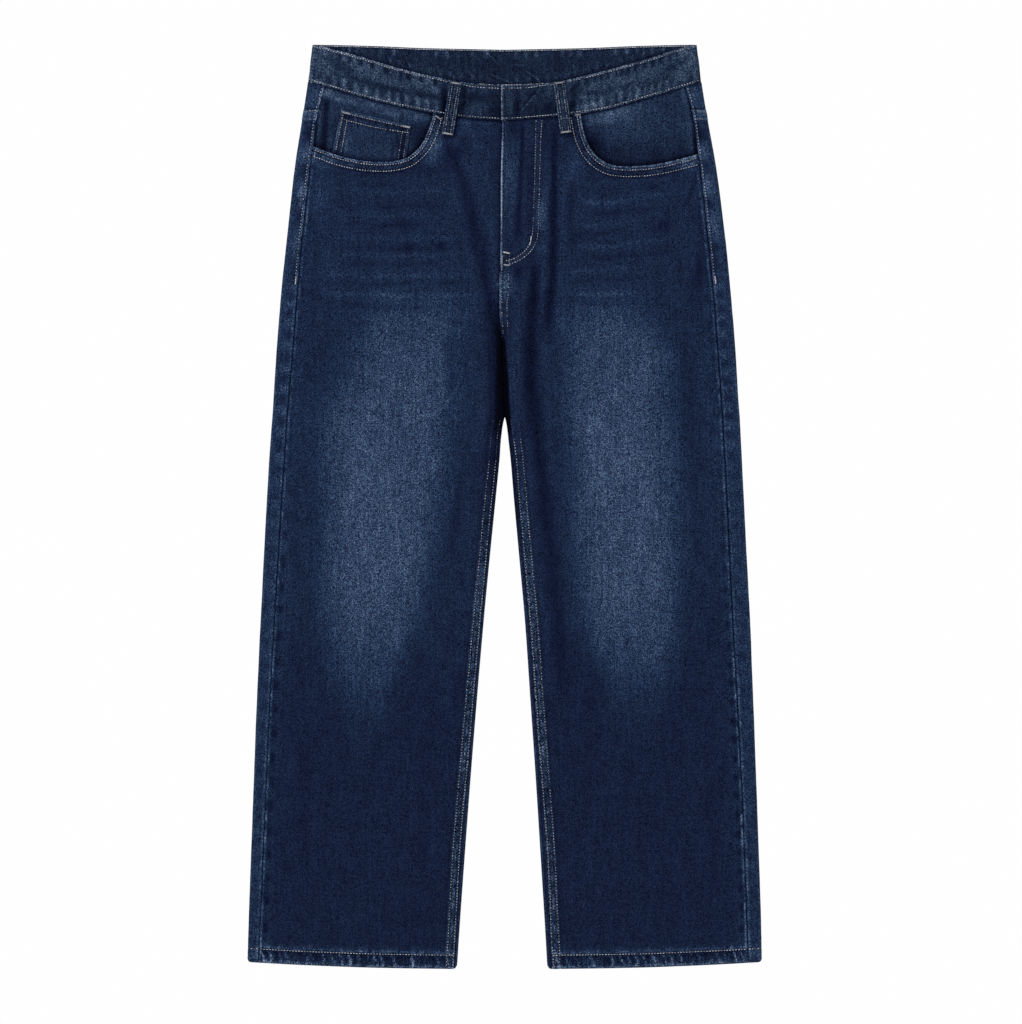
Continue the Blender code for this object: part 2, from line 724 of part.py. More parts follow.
def make_front_loops(holder, parent):
    for name, top_x, top_y, foot_x, foot_y in LOOPS:
        direction = Vector((top_x - foot_x, top_y - foot_y)).normalized()
        sideways = Vector((direction.y, -direction.x)) * 0.5 * LOOP_WIDE
        steps = 7

        def where(i, j):
            t = j / steps
            x = foot_x + (top_x - foot_x) * t
            y = foot_y + (top_y - foot_y) * t
            over = smooth((y - along(LOW_EDGE, x) + 9.0) / 7.0)
            z = HIP_HIGH + (BAND_HIGH - HIP_HIGH) * over + SEAM_GAP + LOOP_WALL
            return x + sideways.x * (2 * i - 1), y + sideways.y * (2 * i - 1), z

        grid_sheet(name, 1, steps, where, DENIM, LOOP_WALL, holder, parent)


def make_back_loops(holder, parent):
    for name, x in BACK_LOOPS:
        half = 0.5 * LOOP_WIDE
        top = along(BACK_UP, abs(x)) - 0.4
        corners = [(x - half, BACK_LOOP_FROM), (x + half, BACK_LOOP_FROM),
                   (x + half, top), (x - half, top)]
        flat_outline(name, corners, 0.0, BACK_LOOP_WALL, DENIM, holder, parent)


def make_back_pockets(holder, parent):
    for side, tag in ((-1, "l"), (1, "r")):
        corners = [(side * a, y) for a, y in PATCH]
        flat_outline("back_pocket_" + tag, corners, 0.0, PATCH_WALL, DENIM_DARK,
                     holder, parent)


def main():
    clear_scene()
    holder = bpy.data.collections.new("straight_leg_jeans")
    bpy.context.scene.collection.children.link(holder)
    parent = bpy.data.objects.new("jeans_laid_flat", None)
    holder.objects.link(parent)
    layer = CLOTH + SEAM_GAP
    for side, tag, drop in ((-1, "l", 2.0 * layer), (1, "r", layer)):
        make_back(side, tag, holder, parent)
        make_yoke(side, tag, holder, parent)
        make_front(side, tag, holder, parent)
        make_facing(side, tag, drop, holder, parent)
    make_coin_pocket(2.0 * layer, holder, parent)
    make_waistband(holder, parent)
    make_front_loops(holder, parent)
    make_back_loops(holder, parent)
    make_back_pockets(holder, parent)
    bpy.context.view_layer.update()


main()
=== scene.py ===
"""Looks of the straight leg jeans, laid flat with the front up. Sizes are in millimetres."""
import math

import bpy
import numpy as np
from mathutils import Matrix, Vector


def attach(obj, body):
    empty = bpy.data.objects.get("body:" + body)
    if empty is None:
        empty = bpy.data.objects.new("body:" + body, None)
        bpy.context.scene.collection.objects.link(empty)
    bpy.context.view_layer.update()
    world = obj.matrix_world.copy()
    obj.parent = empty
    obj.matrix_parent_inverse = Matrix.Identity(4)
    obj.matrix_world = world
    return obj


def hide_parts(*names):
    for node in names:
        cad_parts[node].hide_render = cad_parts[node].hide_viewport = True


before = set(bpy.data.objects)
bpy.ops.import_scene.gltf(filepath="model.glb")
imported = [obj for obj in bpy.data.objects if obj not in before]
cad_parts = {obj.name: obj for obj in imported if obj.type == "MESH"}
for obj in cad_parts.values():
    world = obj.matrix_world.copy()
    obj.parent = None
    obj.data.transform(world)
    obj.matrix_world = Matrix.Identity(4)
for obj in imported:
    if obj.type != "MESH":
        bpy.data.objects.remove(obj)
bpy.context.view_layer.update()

MM = 0.001
CENTRE = np.array([-0.1, 0.05, 0.0])
GAP = 0.3
CLOTH, HEM_WALL, BAND_WALL, LOOP_WALL = 1.2, 2.2, 2.4, 2.0
LOOP_WIDE = 13.2
LEG_HIGH, HIP_HIGH, SEAT_LIFT, BAND_HIGH = 5.8, 8.0, 1.5, 8.6
FOLD_IN, CROTCH_Y, SEAT_FLAT_Y, SPLIT_Y = 2.8, 187.0, 206.0, 300.0
HEM_DEEP = 15.2
LAP_END_Y = 246.0     # outseam: lapped and topstitched above, pressed open below
TUCK = 14.0


# ------------------------------------------------------------------ curves from tables

def curve(pairs):
    """Smooth curve through (key, value) pairs with no overshoot, level beyond the ends."""
    pairs = sorted(pairs)
    x = np.array([p[0] for p in pairs], float)
    y = np.array([p[1] for p in pairs], float)
    h = np.diff(x)
    d = np.diff(y) / h
    m = np.empty_like(y)
    m[0], m[-1] = d[0], d[-1]
    prod, total = d[:-1] * d[1:], d[:-1] + d[1:]
    m[1:-1] = np.where(prod > 0, 2 * prod / np.where(prod > 0, total, 1.0), 0.0)

    def at(t):
        t = np.clip(np.asarray(t, float), x[0], x[-1])
        i = np.clip(np.searchsorted(x, t, side="right") - 1, 0, len(x) - 2)
        u = (t - x[i]) / h[i]
        return (y[i] * (1 + 2 * u) * (1 - u) ** 2 + m[i] * h[i] * u * (1 - u) ** 2
                + y[i + 1] * u * u * (3 - 2 * u) + m[i + 1] * h[i] * u * u * (u - 1))

    return at


def columns(names, table):
    names = names.split()
    return {n: curve([(row[0], row[k]) for row in table]) for k, n in enumerate(names) if k}


OUTLINE = columns("y out_l out_r mid apart", (
    (508.0, -211.5, 211.0, 0.0, 0.3),
    (463.5, -216.4, 216.4, 0.0, 0.3),
    (425.0, -222.3, 222.8, 0.0, 0.3),
    (375.5, -230.0, 231.6, -0.2, 0.3),
    (326.0, -235.7, 238.4, -0.5, 0.3),
    (276.5, -241.0, 244.1, -1.6, 0.3),
    (244.6, -244.5, 247.2, -2.4, 0.3),
    (188.5, -249.1, 252.0, -3.4, 0.3),
    (144.5, -252.2, 254.9, -2.0, 0.3),
    (120.0, -253.8, 256.4, -0.9, 0.3),
    (99.0, -255.0, 257.9, -0.1, 0.4),
    (95.0, -255.3, 258.1, 0.05, 3.2),
    (88.0, -255.9, 258.5, 0.0, 6.0),
    (73.0, -257.1, 259.3, -0.05, 9.6),
    (51.0, -258.6, 260.4, 0.4, 13.6),
    (7.0, -261.2, 262.6, 0.05, 21.7),
    (-59.0, -264.7, 265.9, -0.25, 34.3),
    (-125.0, -268.0, 269.4, -0.45, 46.5),
    (-213.0, -272.2, 272.9, -1.2, 60.2),
    (-301.0, -275.5, 276.2, -1.75, 73.3),
    (-389.0, -278.8, 279.3, -2.3, 85.4),
    (-466.0, -281.4, 281.7, -2.65, 95.7),
    (-508.0, -282.6, 282.4, -2.8, 100.8)))
OUTSEAM = columns("y seam_l seam_r", (
    (470.0, -195.0, 195.6), (460.0, -197.7, 198.5), (436.0, -204.1, 205.3),
    (425.0, -206.4, 207.2), (400.0, -209.8, 210.5), (370.0, -214.2, 214.8),
    (325.0, -219.4, 220.3), (282.0, -224.0, 224.8), (228.0, -228.4, 230.1),
    (166.5, -233.1, 234.8), (100.5, -239.0, 239.4), (46.6, -242.5, 242.4),
    (-15.0, -246.5, 245.5), (-70.0, -249.9, 248.1), (-125.0, -253.2, 250.7),
    (-179.0, -256.3, 253.9), (-289.0, -261.5, 259.7), (-378.0, -265.2, 263.6),
    (-508.0, -270.8, 267.8)))
CENTRE_FRONT = curve((
    (508.0, -3.9), (463.5, -3.9), (425.0, -2.1), (359.0, -3.5), (293.0, -3.8),
    (268.8, -4.2), (250.0, -5.0), (220.0, -5.1), (187.0, -3.6), (150.0, -2.4)))
INSEAM = columns("y in_from_fold top_radius", (
    (240.0, 1.9, 1.5), (187.0, 1.9, 1.5), (145.0, 2.8, 1.9), (97.0, 3.6, 2.8),
    (40.0, 4.0, 2.8), (-60.0, 4.0, 2.8), (-280.0, 4.6, 2.8), (-378.0, 6.0, 2.8),
    (-460.0, 4.7, 2.8), (-508.0, 4.5, 2.8)))
BAND_LOW = curve((
    (-217.0, 467.4), (-198.1, 461.9), (-175.6, 455.0), (-140.5, 445.2),
    (-114.7, 439.3), (-81.0, 432.5), (-50.8, 427.5), (-2.7, 424.1), (43.2, 427.0),
    (74.3, 430.4), (105.3, 434.8), (156.3, 448.6), (197.4, 460.9), (217.0, 466.8)))
BAND_UP = curve((
    (-211.5, 508.0), (-189.6, 502.4), (-161.5, 495.0), (-114.7, 480.8),
    (-76.0, 471.8), (-47.6, 466.2), (-2.7, 463.2), (49.1, 465.3), (82.8, 472.0),
    (119.8, 481.4), (156.3, 491.5), (192.8, 503.3), (211.5, 508.0)))
BAND_BACK = columns("from_middle low up", (
    (0.0, 462.6, 502.3), (90.0, 463.5, 504.2), (140.0, 464.6, 506.3),
    (180.0, 465.8, 507.4), (218.0, 467.0, 508.0)))
YOKE_LINE = curve(((0.0, 396.0), (217.0, 436.0), (240.0, 436.0)))
HEM_RISE = curve(((45.0, -0.5), (116.0, 0.4), (156.0, 1.3), (193.0, 2.7), (228.0, 4.2), (283.0, 7.2)))
HEM_FADE = 110.0
POCKET = {
    -1: ((-211.0, 395.3), (-197.7, 390.9), (-182.9, 385.4), (-157.6, 379.9), (-136.7, 378.3),
         (-119.5, 379.6), (-105.0, 384.4), (-91.5, 397.4), (-83.5, 414.4), (-78.4, 431.9)),
    1: ((212.6, 387.2), (201.0, 383.9), (182.9, 379.3), (164.6, 375.6), (146.4, 373.8),
        (129.1, 373.7), (112.5, 377.0), (98.0, 388.0), (88.8, 405.2), (83.3, 431.9)),
}
COIN = ((-179.8, 436.8), (-102.6, 418.4), (-109.0, 384.5), (-191.0, 390.9))
COIN_TUCK = 8.0
LOOPS = {"belt_loop_front_l": (-53.6, 466.4, -63.1, 407.4),
         "belt_loop_front_r": (59.8, 466.9, 67.4, 409.3)}
BACK_LOOPS = {"belt_loop_back_l": -116.0, "belt_loop_back_c": 0.0, "belt_loop_back_r": 116.0}
PATCH = ((190.0, 398.0), (44.0, 376.0), (56.0, 242.0), (116.0, 224.0), (178.0, 252.0))


def smooth(t):
    t = np.clip(t, 0.0, 1.0)
    return t * t * (3.0 - 2.0 * t)


def hump(d, at, width):
    return np.exp(-((d - at) / width) ** 2)


def high(y):
    return LEG_HIGH + (HIP_HIGH - LEG_HIGH) * smooth((y - 80.0) / 180.0)


def low(y):
    return SEAT_LIFT * smooth((y - 120.0) / 90.0)


def outer(side, y):
    return side * OUTLINE["out_l" if side < 0 else "out_r"](y)


def inner(side, y):
    return side * OUTLINE["mid"](y) + 0.5 * OUTLINE["apart"](y)


def seam(side, y):
    return side * OUTSEAM["seam_l" if side < 0 else "seam_r"](y)


def fold_in(side, y):
    """How far in from the inner fold the felled edge of the front lies."""
    return INSEAM["in_from_fold"](y) - (1.7 if side < 0 else 0.0) * smooth((140.0 - y) / 60.0)


def fold_radius(side, y):
    return np.minimum(INSEAM["top_radius"](y), fold_in(side, y) - 0.6)


def front_edge(side, y):
    return seam(side, y) - 0.5 * GAP


def front_end(side, y):
    leg = inner(side, y) + fold_in(side, y) + 0.5 * GAP
    # The right front laps over the left one by a little.
    body = side * CENTRE_FRONT(y) + 0.5 * GAP - (0.8 if side > 0 else 0.0)
    return leg + (body - leg) * np.clip((y - CROTCH_Y) / 3.0, 0, 1)


def band_low(side, a, under):
    return (1.0 - under) * BAND_LOW(side * a) + under * BAND_BACK["low"](a)


def band_up(side, a, under):
    return (1.0 - under) * BAND_UP(side * a) + under * BAND_BACK["up"](a)


def hem_shift(side, a, y):
    """Rise of the hem line, with the rounded corners of the pressed hem."""
    base = HEM_RISE(a) * np.maximum(0.0, 1.0 - (y + 508.0) / HEM_FADE)
    near = np.minimum(outer(side, y) - a, a - inner(side, y))
    r = 4.0
    c = np.clip((r - near) / r, 0, 1)
    corner = r * (1 - np.sqrt(np.maximum(0.0, 1 - c * c)))
    return base + corner * 0.8 * np.clip(1.0 - (y + 508.0) / 9.0, 0, 1) ** 1.5


# ------------------------------------------------------------------ noise

def _hash(i, j, seed):
    n = (i * 374761393 + j * 668265263 + seed * 974634777) & 0xFFFFFFFF
    n = ((n ^ (n >> 13)) * 1274126177) & 0xFFFFFFFF
    return ((n ^ (n >> 16)) & 0xFFFF) / 32767.5 - 1.0


def noise(x, y, seed=0):
    """Value noise between -1 and 1, one cell for each unit."""
    x, y = np.broadcast_arrays(np.asarray(x, float), np.asarray(y, float))
    i, j = np.floor(x).astype(np.int64), np.floor(y).astype(np.int64)
    u, v = x - i, y - j
    u, v = u * u * (3 - 2 * u), v * v * (3 - 2 * v)
    a = _hash(i, j, seed) * (1 - u) + _hash(i + 1, j, seed) * u
    b = _hash(i, j + 1, seed) * (1 - u) + _hash(i + 1, j + 1, seed) * u
    return a * (1 - v) + b * v


def fractal(x, y, seed=0, octaves=3):
    total, size = 0.0, 1.0
    for k in range(octaves):
        total = total + size * noise(x * 2 ** k, y * 2 ** k, seed + 17 * k)
        size *= 0.5
    return total / 1.75


# ------------------------------------------------------------------ lines and distances

def fine_line(points, per=12):
    pts = np.array(points, float)
    last = len(pts) - 1
    out = []
    for i in range(last):
        a, b = pts[max(0, i - 1)], pts[i]
        c, d = pts[i + 1], pts[min(last, i + 2)]
        t = (np.arange(per) / per)[:, None]
        out.append(0.5 * (2 * b + (c - a) * t + (2 * a - 5 * b + 4 * c - d) * t ** 2
                          + (3 * b - a - 3 * c + d) * t ** 3))
    return np.concatenate(out + [pts[-1:]])


def resample(line, count=None, step=None, start=0.0, end=0.0):
    run = np.concatenate([[0], np.cumsum(np.linalg.norm(np.diff(line, axis=0), axis=1))])
    if count is None:
        count = max(1, int(round((run[-1] - start - end) / step)))
    at = np.linspace(start, run[-1] - end, count + 1)
    return np.stack([np.interp(at, run, line[:, k]) for k in range(line.shape[1])], 1)


def offset_line(line, by):
    """The line moved to its left by that much."""
    t = np.gradient(line, axis=0)
    t /= np.maximum(np.linalg.norm(t, axis=1), 1e-9)[:, None]
    return line + np.stack([-t[:, 1], t[:, 0]], 1) * by


def signed(line, x, y):
    """Signed distance from the line, positive on its left, and how far along it is."""
    shape = np.broadcast(x, y).shape
    p = np.stack([np.broadcast_to(x, shape).ravel(), np.broadcast_to(y, shape).ravel()], 1)
    best = np.full(len(p), 1e9)
    sign = np.ones(len(p))
    where = np.zeros(len(p))
    run = 0.0
    for a, b in zip(line[:-1], line[1:]):
        d = b - a
        length = math.hypot(*d)
        t = np.clip(((p - a) @ d) / length ** 2, 0, 1)
        q = p - a - t[:, None] * d
        dist = np.hypot(q[:, 0], q[:, 1])
        near = dist < best
        best = np.where(near, dist, best)
        sign = np.where(near, np.sign(d[0] * (p[:, 1] - a[1]) - d[1] * (p[:, 0] - a[0])), sign)
        where = np.where(near, run + t * length, where)
        run += length
    return (best * sign).reshape(shape), where.reshape(shape)


def pocket_line(side):
    pts = [list(p) for p in POCKET[side]]
    pts[-1][1] = float(BAND_LOW(pts[-1][0])) - GAP
    pts[0][0] = side * (float(seam(side, pts[0][1])) - 0.5 * GAP)
    return fine_line(pts, 10)


POCKET_LINE = {s: pocket_line(s) for s in (-1, 1)}


def from_pocket(side, x, y):
    """Distance from the pocket edge, positive on the front panel."""
    d, run = signed(POCKET_LINE[side], x, y)
    return d * side, run


# Fly stitching: the outer and the inner row, from the waistband down and round to the seam.
FLY_OUTER = fine_line(((41.0, 424.6), (39.4, 400.0), (38.6, 372.0), (37.2, 322.0), (36.4, 300.0),
                       (33.6, 288.6), (27.5, 279.4), (18.5, 271.8), (8.0, 267.0), (4.6, 265.9)))
FLY_INNER = fine_line(((34.5, 424.6), (34.0, 412.0), (33.2, 372.0), (31.6, 322.0), (30.0, 296.0),
                       (25.8, 285.6), (19.0, 277.8), (9.0, 271.6), (0.6, 269.6)))


# ------------------------------------------------------------------ creases and wear
# Soft troughs in the top of the cloth: ends, half width, depth, how much painted shade darkens them (a faint painted
# highlight on their lips).
CREASES = (
    (76.0, 366.0, 70.0, 310.0, 5.0, 0.35, 0.05),
    (-205.0, 330.0, -150.0, 318.0, 7.0, 0.30, 0.00),
    (-92.0, 214.0, -20.0, 192.0, 6.0, 0.35, 0.03),
    (66.0, 244.0, 16.0, 214.0, 5.0, 0.35, 0.03),
    (-232.0, 20.0, -226.0, -90.0, 7.0, 0.35, 0.03),
    (-216.0, -250.0, -222.0, -370.0, 8.0, 0.40, 0.02),
    (-92.0, -240.0, -84.0, -400.0, 9.0, 0.35, 0.02),
    (236.0, -40.0, 232.0, -150.0, 7.0, 0.35, 0.03),
    (96.0, -180.0, 90.0, -330.0, 9.0, 0.35, 0.02),
    (226.0, -300.0, 232.0, -430.0, 8.0, 0.35, 0.02),
    (-46.0, 60.0, -56.0, -60.0, 7.0, 0.40, 0.04),
    (-52.0, 320.0, -46.0, 250.0, 6.0, 0.25, 0.03),
    (-206.0, 300.0, -212.0, 180.0, 5.0, 0.25, 0.03),
    (-58.0, 210.0, -62.0, 90.0, 7.0, 0.35, 0.05),
    (196.0, 190.0, 204.0, 60.0, 8.0, 0.30, 0.03),
)
# Long bent creases: points, half width at the start and end, depth, painted shade there (a painted highlight where
# negative).
BENDS = (
    (((-70.0, 407.0), (-54.0, 377.0), (-41.0, 338.0), (-31.5, 296.0), (-22.5, 252.0), (-16.5, 222.0), (-11.0, 190.0)),
     6.5, 6.0, 0.50, 0.10, 0.11),
    (((54.6, 424.0), (54.4, 372.0), (53.6, 325.0), (52.6, 280.0), (51.6, 252.0), (49.0, 219.0), (46.0, 186.0)),
     3.0, 5.0, 0.90, 0.20, 0.17),
    (((35.0, 270.0), (31.6, 228.0), (29.2, 196.0), (28.8, 165.0), (29.2, 135.0), (31.6, 106.0), (35.8, 73.0),
      (40.4, 34.0), (45.0, -4.0), (49.4, -42.0), (55.0, -81.0), (59.0, -125.0), (62.5, -170.0), (66.0, -208.0)),
     6.0, 9.0, 0.85, 0.20, 0.05),
    (((19.5, 428.0), (18.6, 390.0), (17.4, 350.0), (15.0, 310.0), (12.0, 286.0)), 2.2, 3.0, 0.45, 0.16, 0.11),
    (((-62.0, 402.0), (-64.0, 378.0), (-60.0, 350.0)), 3.0, 4.0, 0.30, 0.07, 0.03),
    (((-112.0, 94.0), (-92.0, 98.0), (-70.0, 108.0), (-56.0, 126.0), (-48.0, 146.0)), 2.4, 2.4, -0.30, -0.09, -0.07),
    (((208.5, 364.0), (204.0, 346.0), (198.0, 326.0)), 2.6, 3.6, 0.45, 0.13, 0.09),
    (((-92.0, 402.0), (-82.0, 384.0), (-76.0, 366.0)), 3.0, 6.0, -0.20, -0.08, -0.03),
)
# Thin worn lines across the hips where the cloth has folded: ends, half width, tone.
LINES = (
    (-198.0, 349.0, -52.0, 346.0, 2.6, 0.081), (-190.0, 332.0, -70.0, 329.0, 2.2, -0.081),
    (-196.0, 320.0, -60.0, 319.0, 2.2, 0.069), (-186.0, 310.0, -84.0, 309.0, 2.4, -0.069),
    (-200.0, 297.0, -40.0, 294.0, 2.0, 0.092), (-186.0, 286.0, -58.0, 283.0, 3.2, -0.092),
    (-200.0, 277.0, -44.0, 277.0, 2.0, 0.092), (-180.0, 267.0, -60.0, 267.0, 2.8, -0.092),
    (-204.0, 256.0, -36.0, 254.0, 2.4, 0.110), (-196.0, 246.0, -40.0, 245.0, 2.4, -0.097),
    (-206.0, 234.0, -30.0, 233.0, 2.6, 0.127), (-190.0, 222.0, -50.0, 219.0, 2.8, -0.081),
    (100.0, 357.0, 176.0, 362.0, 2.4, 0.081), (96.0, 348.0, 180.0, 353.0, 2.2, -0.069),
    (82.0, 333.0, 182.0, 343.0, 2.6, 0.127), (92.0, 321.0, 172.0, 329.0, 2.8, -0.092),
    (78.0, 306.0, 150.0, 318.0, 2.2, 0.081), (70.0, 296.0, 140.0, 306.0, 2.6, -0.069),
    (74.0, 284.0, 184.0, 294.0, 2.4, 0.115), (72.0, 272.0, 184.0, 280.0, 2.8, -0.081),
    (70.0, 259.0, 150.0, 265.0, 2.4, 0.081), (72.0, 248.0, 160.0, 252.0, 2.8, -0.081),
    (64.0, 234.0, 150.0, 236.0, 2.6, 0.103), (70.0, 224.0, 150.0, 224.0, 2.6, -0.069),
)
# Soft worn and shaded patches: x, y, half length across, half height, lean, tone.
PATCHES_SOFT = (
    (-166.0, 130.0, 38.0, 50.0, 0.0, -0.046), (98.0, 134.0, 18.0, 22.0, 0.0, -0.034),
    (169.0, 98.0, 13.0, 24.0, 0.0, -0.030), (17.0, 290.0, 18.0, 60.0, 0.0, -0.026),
    (50.0, 60.0, 30.0, 170.0, -0.08, -0.020), (169.0, 0.0, 14.0, 150.0, 0.0, -0.020), (-128.0, 85.0, 22.0, 90.0, 0.0, -0.022),
    (-76.0, 398.0, 7.5, 15.0, 0.25, 0.24), (-216.0, 384.0, 13.0, 8.0, 0.0, 0.24), (-192.0, 378.0, 16.0, 6.0, 0.0, 0.10),
    (-71.5, 426.0, 3.2, 3.6, 0.0, -0.26), (-204.0, 340.0, 12.0, 20.0, 0.0, 0.08), (-190.0, 262.0, 18.0, 20.0, 0.0, 0.03),
    (-96.0, 368.0, 34.0, 6.0, 0.0, -0.06), (-150.0, 366.0, 24.0, 5.0, 0.0, -0.04), (-118.0, 350.0, 50.0, 14.0, 0.0, -0.015),
    (-110.0, 310.0, 12.0, 6.0, 0.0, -0.09), (-102.0, 285.0, 9.0, 6.0, 0.0, -0.09), (-70.0, 286.0, 8.0, 6.0, 0.0, -0.09),
    (-22.0, 372.0, 10.0, 34.0, 0.0, 0.03), (-12.0, 300.0, 6.0, 40.0, 0.0, 0.05), (-50.0, 390.0, 8.0, 20.0, 0.6, -0.07),
    (-38.0, 412.0, 4.0, 16.0, -0.5, 0.09), (-9.0, 246.0, 5.0, 20.0, 0.0, 0.04),
    (5.5, 366.0, 7.5, 34.0, 0.0, 0.13), (8.0, 322.0, 6.0, 26.0, 0.0, 0.05), (9.0, 414.0, 8.0, 12.0, 0.0, -0.09),
    (40.0, 321.0, 5.0, 17.0, 0.1, 0.24), (37.0, 300.0, 4.5, 5.0, 0.0, -0.10), (28.0, 366.0, 5.0, 40.0, 0.0, -0.05),
    (1.6, 243.0, 5.0, 15.0, 0.15, 0.25), (8.0, 240.0, 5.0, 11.0, 0.0, 0.07), (-6.5, 243.0, 3.0, 4.5, 0.0, 0.20), (15.0, 258.0, 5.0, 8.0, 0.0, -0.13),
    (30.0, 296.0, 5.0, 24.0, 0.3, -0.05), (24.0, 290.0, 5.0, 14.0, 0.2, 0.06),
    (46.0, 405.0, 5.0, 24.0, 0.0, -0.09), (76.0, 372.0, 8.0, 20.0, 0.25, 0.07), (64.0, 392.0, 5.0, 14.0, 0.3, -0.06),
    (203.0, 377.0, 13.0, 7.0, 0.3, 0.22), (174.0, 308.0, 8.0, 6.0, 0.0, -0.11), (120.0, 364.0, 30.0, 5.0, 0.1, -0.05),
    (214.0, 262.0, 4.5, 24.0, 0.0, -0.13), (206.0, 240.0, 12.0, 16.0, 0.0, -0.03), (180.0, 384.0, 18.0, 5.0, 0.15, 0.07),
    (24.0, 150.0, 9.0, 60.0, 0.0, -0.02), (12.0, 140.0, 5.0, 50.0, 0.05, 0.03), (-24.0, 120.0, 10.0, 60.0, 0.0, 0.03),
    (122.0, 146.0, 8.0, 30.0, 0.0, 0.05), (-80.0, 168.0, 12.0, 18.0, 0.0, 0.03), (-154.0, 166.0, 24.0, 28.0, 0.3, -0.035),
    (-194.0, 110.0, 12.0, 60.0, 0.0, 0.015), (30.0, 246.0, 4.0, 20.0, -0.2, -0.02), (72.0, 300.0, 6.0, 30.0, 0.0, -0.03),
)
# The painted black shadow in the hollow between the legs under the crotch: its two sides.
HOLLOW = columns("y left right", (
    (240.0, -7.4, -6.6), (206.0, -8.6, -6.4), (199.0, -10.2, -6.2), (193.0, -9.8, -5.2), (188.0, -9.4, -3.4),
    (183.0, -9.0, 0.6), (172.0, -9.0, 1.4), (156.0, -8.4, 2.7), (135.0, -8.8, 4.3), (117.0, -9.2, 5.0),
    (107.0, -9.5, 5.7), (96.0, -9.6, 6.4), (88.0, -9.7, 7.1), (74.0, -8.2, 7.6), (40.0, -12.0, 9.4), (0.0, -20.0, 13.6)))


def hollow(x, y):
    """How much of the light is lost in the hollow, 0 to 1."""
    y = np.asarray(y, float)
    left, right = HOLLOW["left"](y), HOLLOW["right"](y)
    full = smooth((204.0 - y) / 12.0) * smooth((y - 72.0) / 22.0)
    some = 0.60 * smooth((238.0 - y) / 30.0) * smooth((y - 150.0) / 30.0)
    body = smooth((x - left + 2.6) / 4.2) * smooth((right - x + 1.1) / 2.2)
    lap = 0.42 * smooth((202.0 - y) / 7.0) * smooth((y - 178.0) / 6.0) * smooth((x - right + 1.0) / 2.0) * smooth((2.4 - x) / 2.0)
    soft = np.exp(-(np.maximum(left - x, 0.0) / 7.0) ** 1.4) * (x < left + 1.0)
    lost = body * np.maximum(full, some) + 0.34 * soft * np.maximum(full, some) * (1 - body)
    return np.clip(np.maximum(lost, lap), 0, 1)


def bends(x, y):
    """Height and shade of the bent creases."""
    shape = np.broadcast(x, y).shape
    x, y = np.broadcast_to(x, shape), np.broadcast_to(y, shape)
    depth, shade = np.zeros(shape), np.zeros(shape)
    for k, (points, w0, w1, deep, dark0, dark1) in enumerate(BENDS):
        pts = np.array(points)
        m = 26.0
        near = ((x > pts[:, 0].min() - m) & (x < pts[:, 0].max() + m)
                & (y > pts[:, 1].min() - m) & (y < pts[:, 1].max() + m))
        if not np.any(near):
            continue
        line = fine_line(points, 4)
        off, run = signed(line, x[near], y[near])
        total = float(np.linalg.norm(np.diff(line, axis=0), axis=1).sum())
        t = run / total
        ends = np.minimum(np.hypot(x[near] - pts[0, 0], y[near] - pts[0, 1]),
                          np.hypot(x[near] - pts[-1, 0], y[near] - pts[-1, 1]))
        off = off + 1.0 * noise(run / 22.0, 2.2 * k, 15 + k)
        wide = (w0 + (w1 - w0) * t) * (1.0 + 0.22 * noise(run / 30.0, 1.1 * k, 25 + k))
        taper = 1.0 - np.exp(-(ends / 12.0) ** 2) * 0.9
        body = np.exp(-(np.abs(off) / wide) ** 1.8)
        lip = np.exp(-((np.abs(off) - 2.0 * wide) / (0.8 * wide)) ** 2)
        depth[near] += taper * deep * (0.30 * lip - body)
        shade[near] += taper * (dark0 + (dark1 - dark0) * t) * (0.18 * lip - body)
    return depth, shade


def wear_and_shade(x, y):
    """Tone of the worn lines, and of the patches: worn ones and ones of painted shade."""
    shape = np.broadcast(x, y).shape
    tone = np.zeros(shape)
    for k, (x0, y0, x1, y1, wide, amount) in enumerate(LINES):
        u = (x - x0) / (x1 - x0)
        v = y - (y0 + (y1 - y0) * u - 3.0 * np.sin(math.pi * np.clip(u, 0, 1)) * 0.5)
        v = v + 1.6 * noise(x / 17.0, 1.9 * k, 55 + k)
        broken = 0.75 + 0.55 * noise(x / 19.0, 3.1 * k, 65 + k)
        tone = tone + 0.70 * amount * broken * smooth((u + 0.05) / 0.25) * smooth((1.05 - u) / 0.25) * np.exp(-(v / wide) ** 2)
    for x0, y0, hx, hy, lean, amount in PATCHES_SOFT:
        v = y - y0
        tone = tone + amount * np.exp(-((x - x0 - lean * v) / hx) ** 2 - (v / hy) ** 2)
    return tone


def creases(x, y):
    depth, shade = np.zeros(np.broadcast(x, y).shape), np.zeros(np.broadcast(x, y).shape)
    for k, (x0, y0, x1, y1, width, deep, dark) in enumerate(CREASES):
        dx, dy = x1 - x0, y1 - y0
        length = math.hypot(dx, dy)
        t = ((x - x0) * dx + (y - y0) * dy) / length ** 2
        off = ((x - x0) * dy - (y - y0) * dx) / length
        off = off + 1.6 * noise(t * length / 28.0, 3.3 * k, 5 + k)
        taper = smooth((t + 0.12) / 0.35) * smooth((1.12 - t) / 0.35)
        wide = width * (0.75 + 0.25 * noise(t * length / 45.0, 1.7 * k, 40 + k) + 0.2 * t)
        body = np.exp(-(off / wide) ** 2)
        lip = np.exp(-((np.abs(off) - 1.9 * wide) / (0.8 * wide)) ** 2)
        depth += taper * deep * (0.32 * lip - body)
        shade += taper * dark * (0.30 * lip - body)
    return depth, shade


def soft_form(x, y):
    """The slow unevenness of cloth lying loose, a few tenths of a millimetre."""
    return (0.34 * fractal(x / 62.0, y / 95.0, 3) + 0.16 * fractal(x / 21.0, y / 34.0, 9, 2))


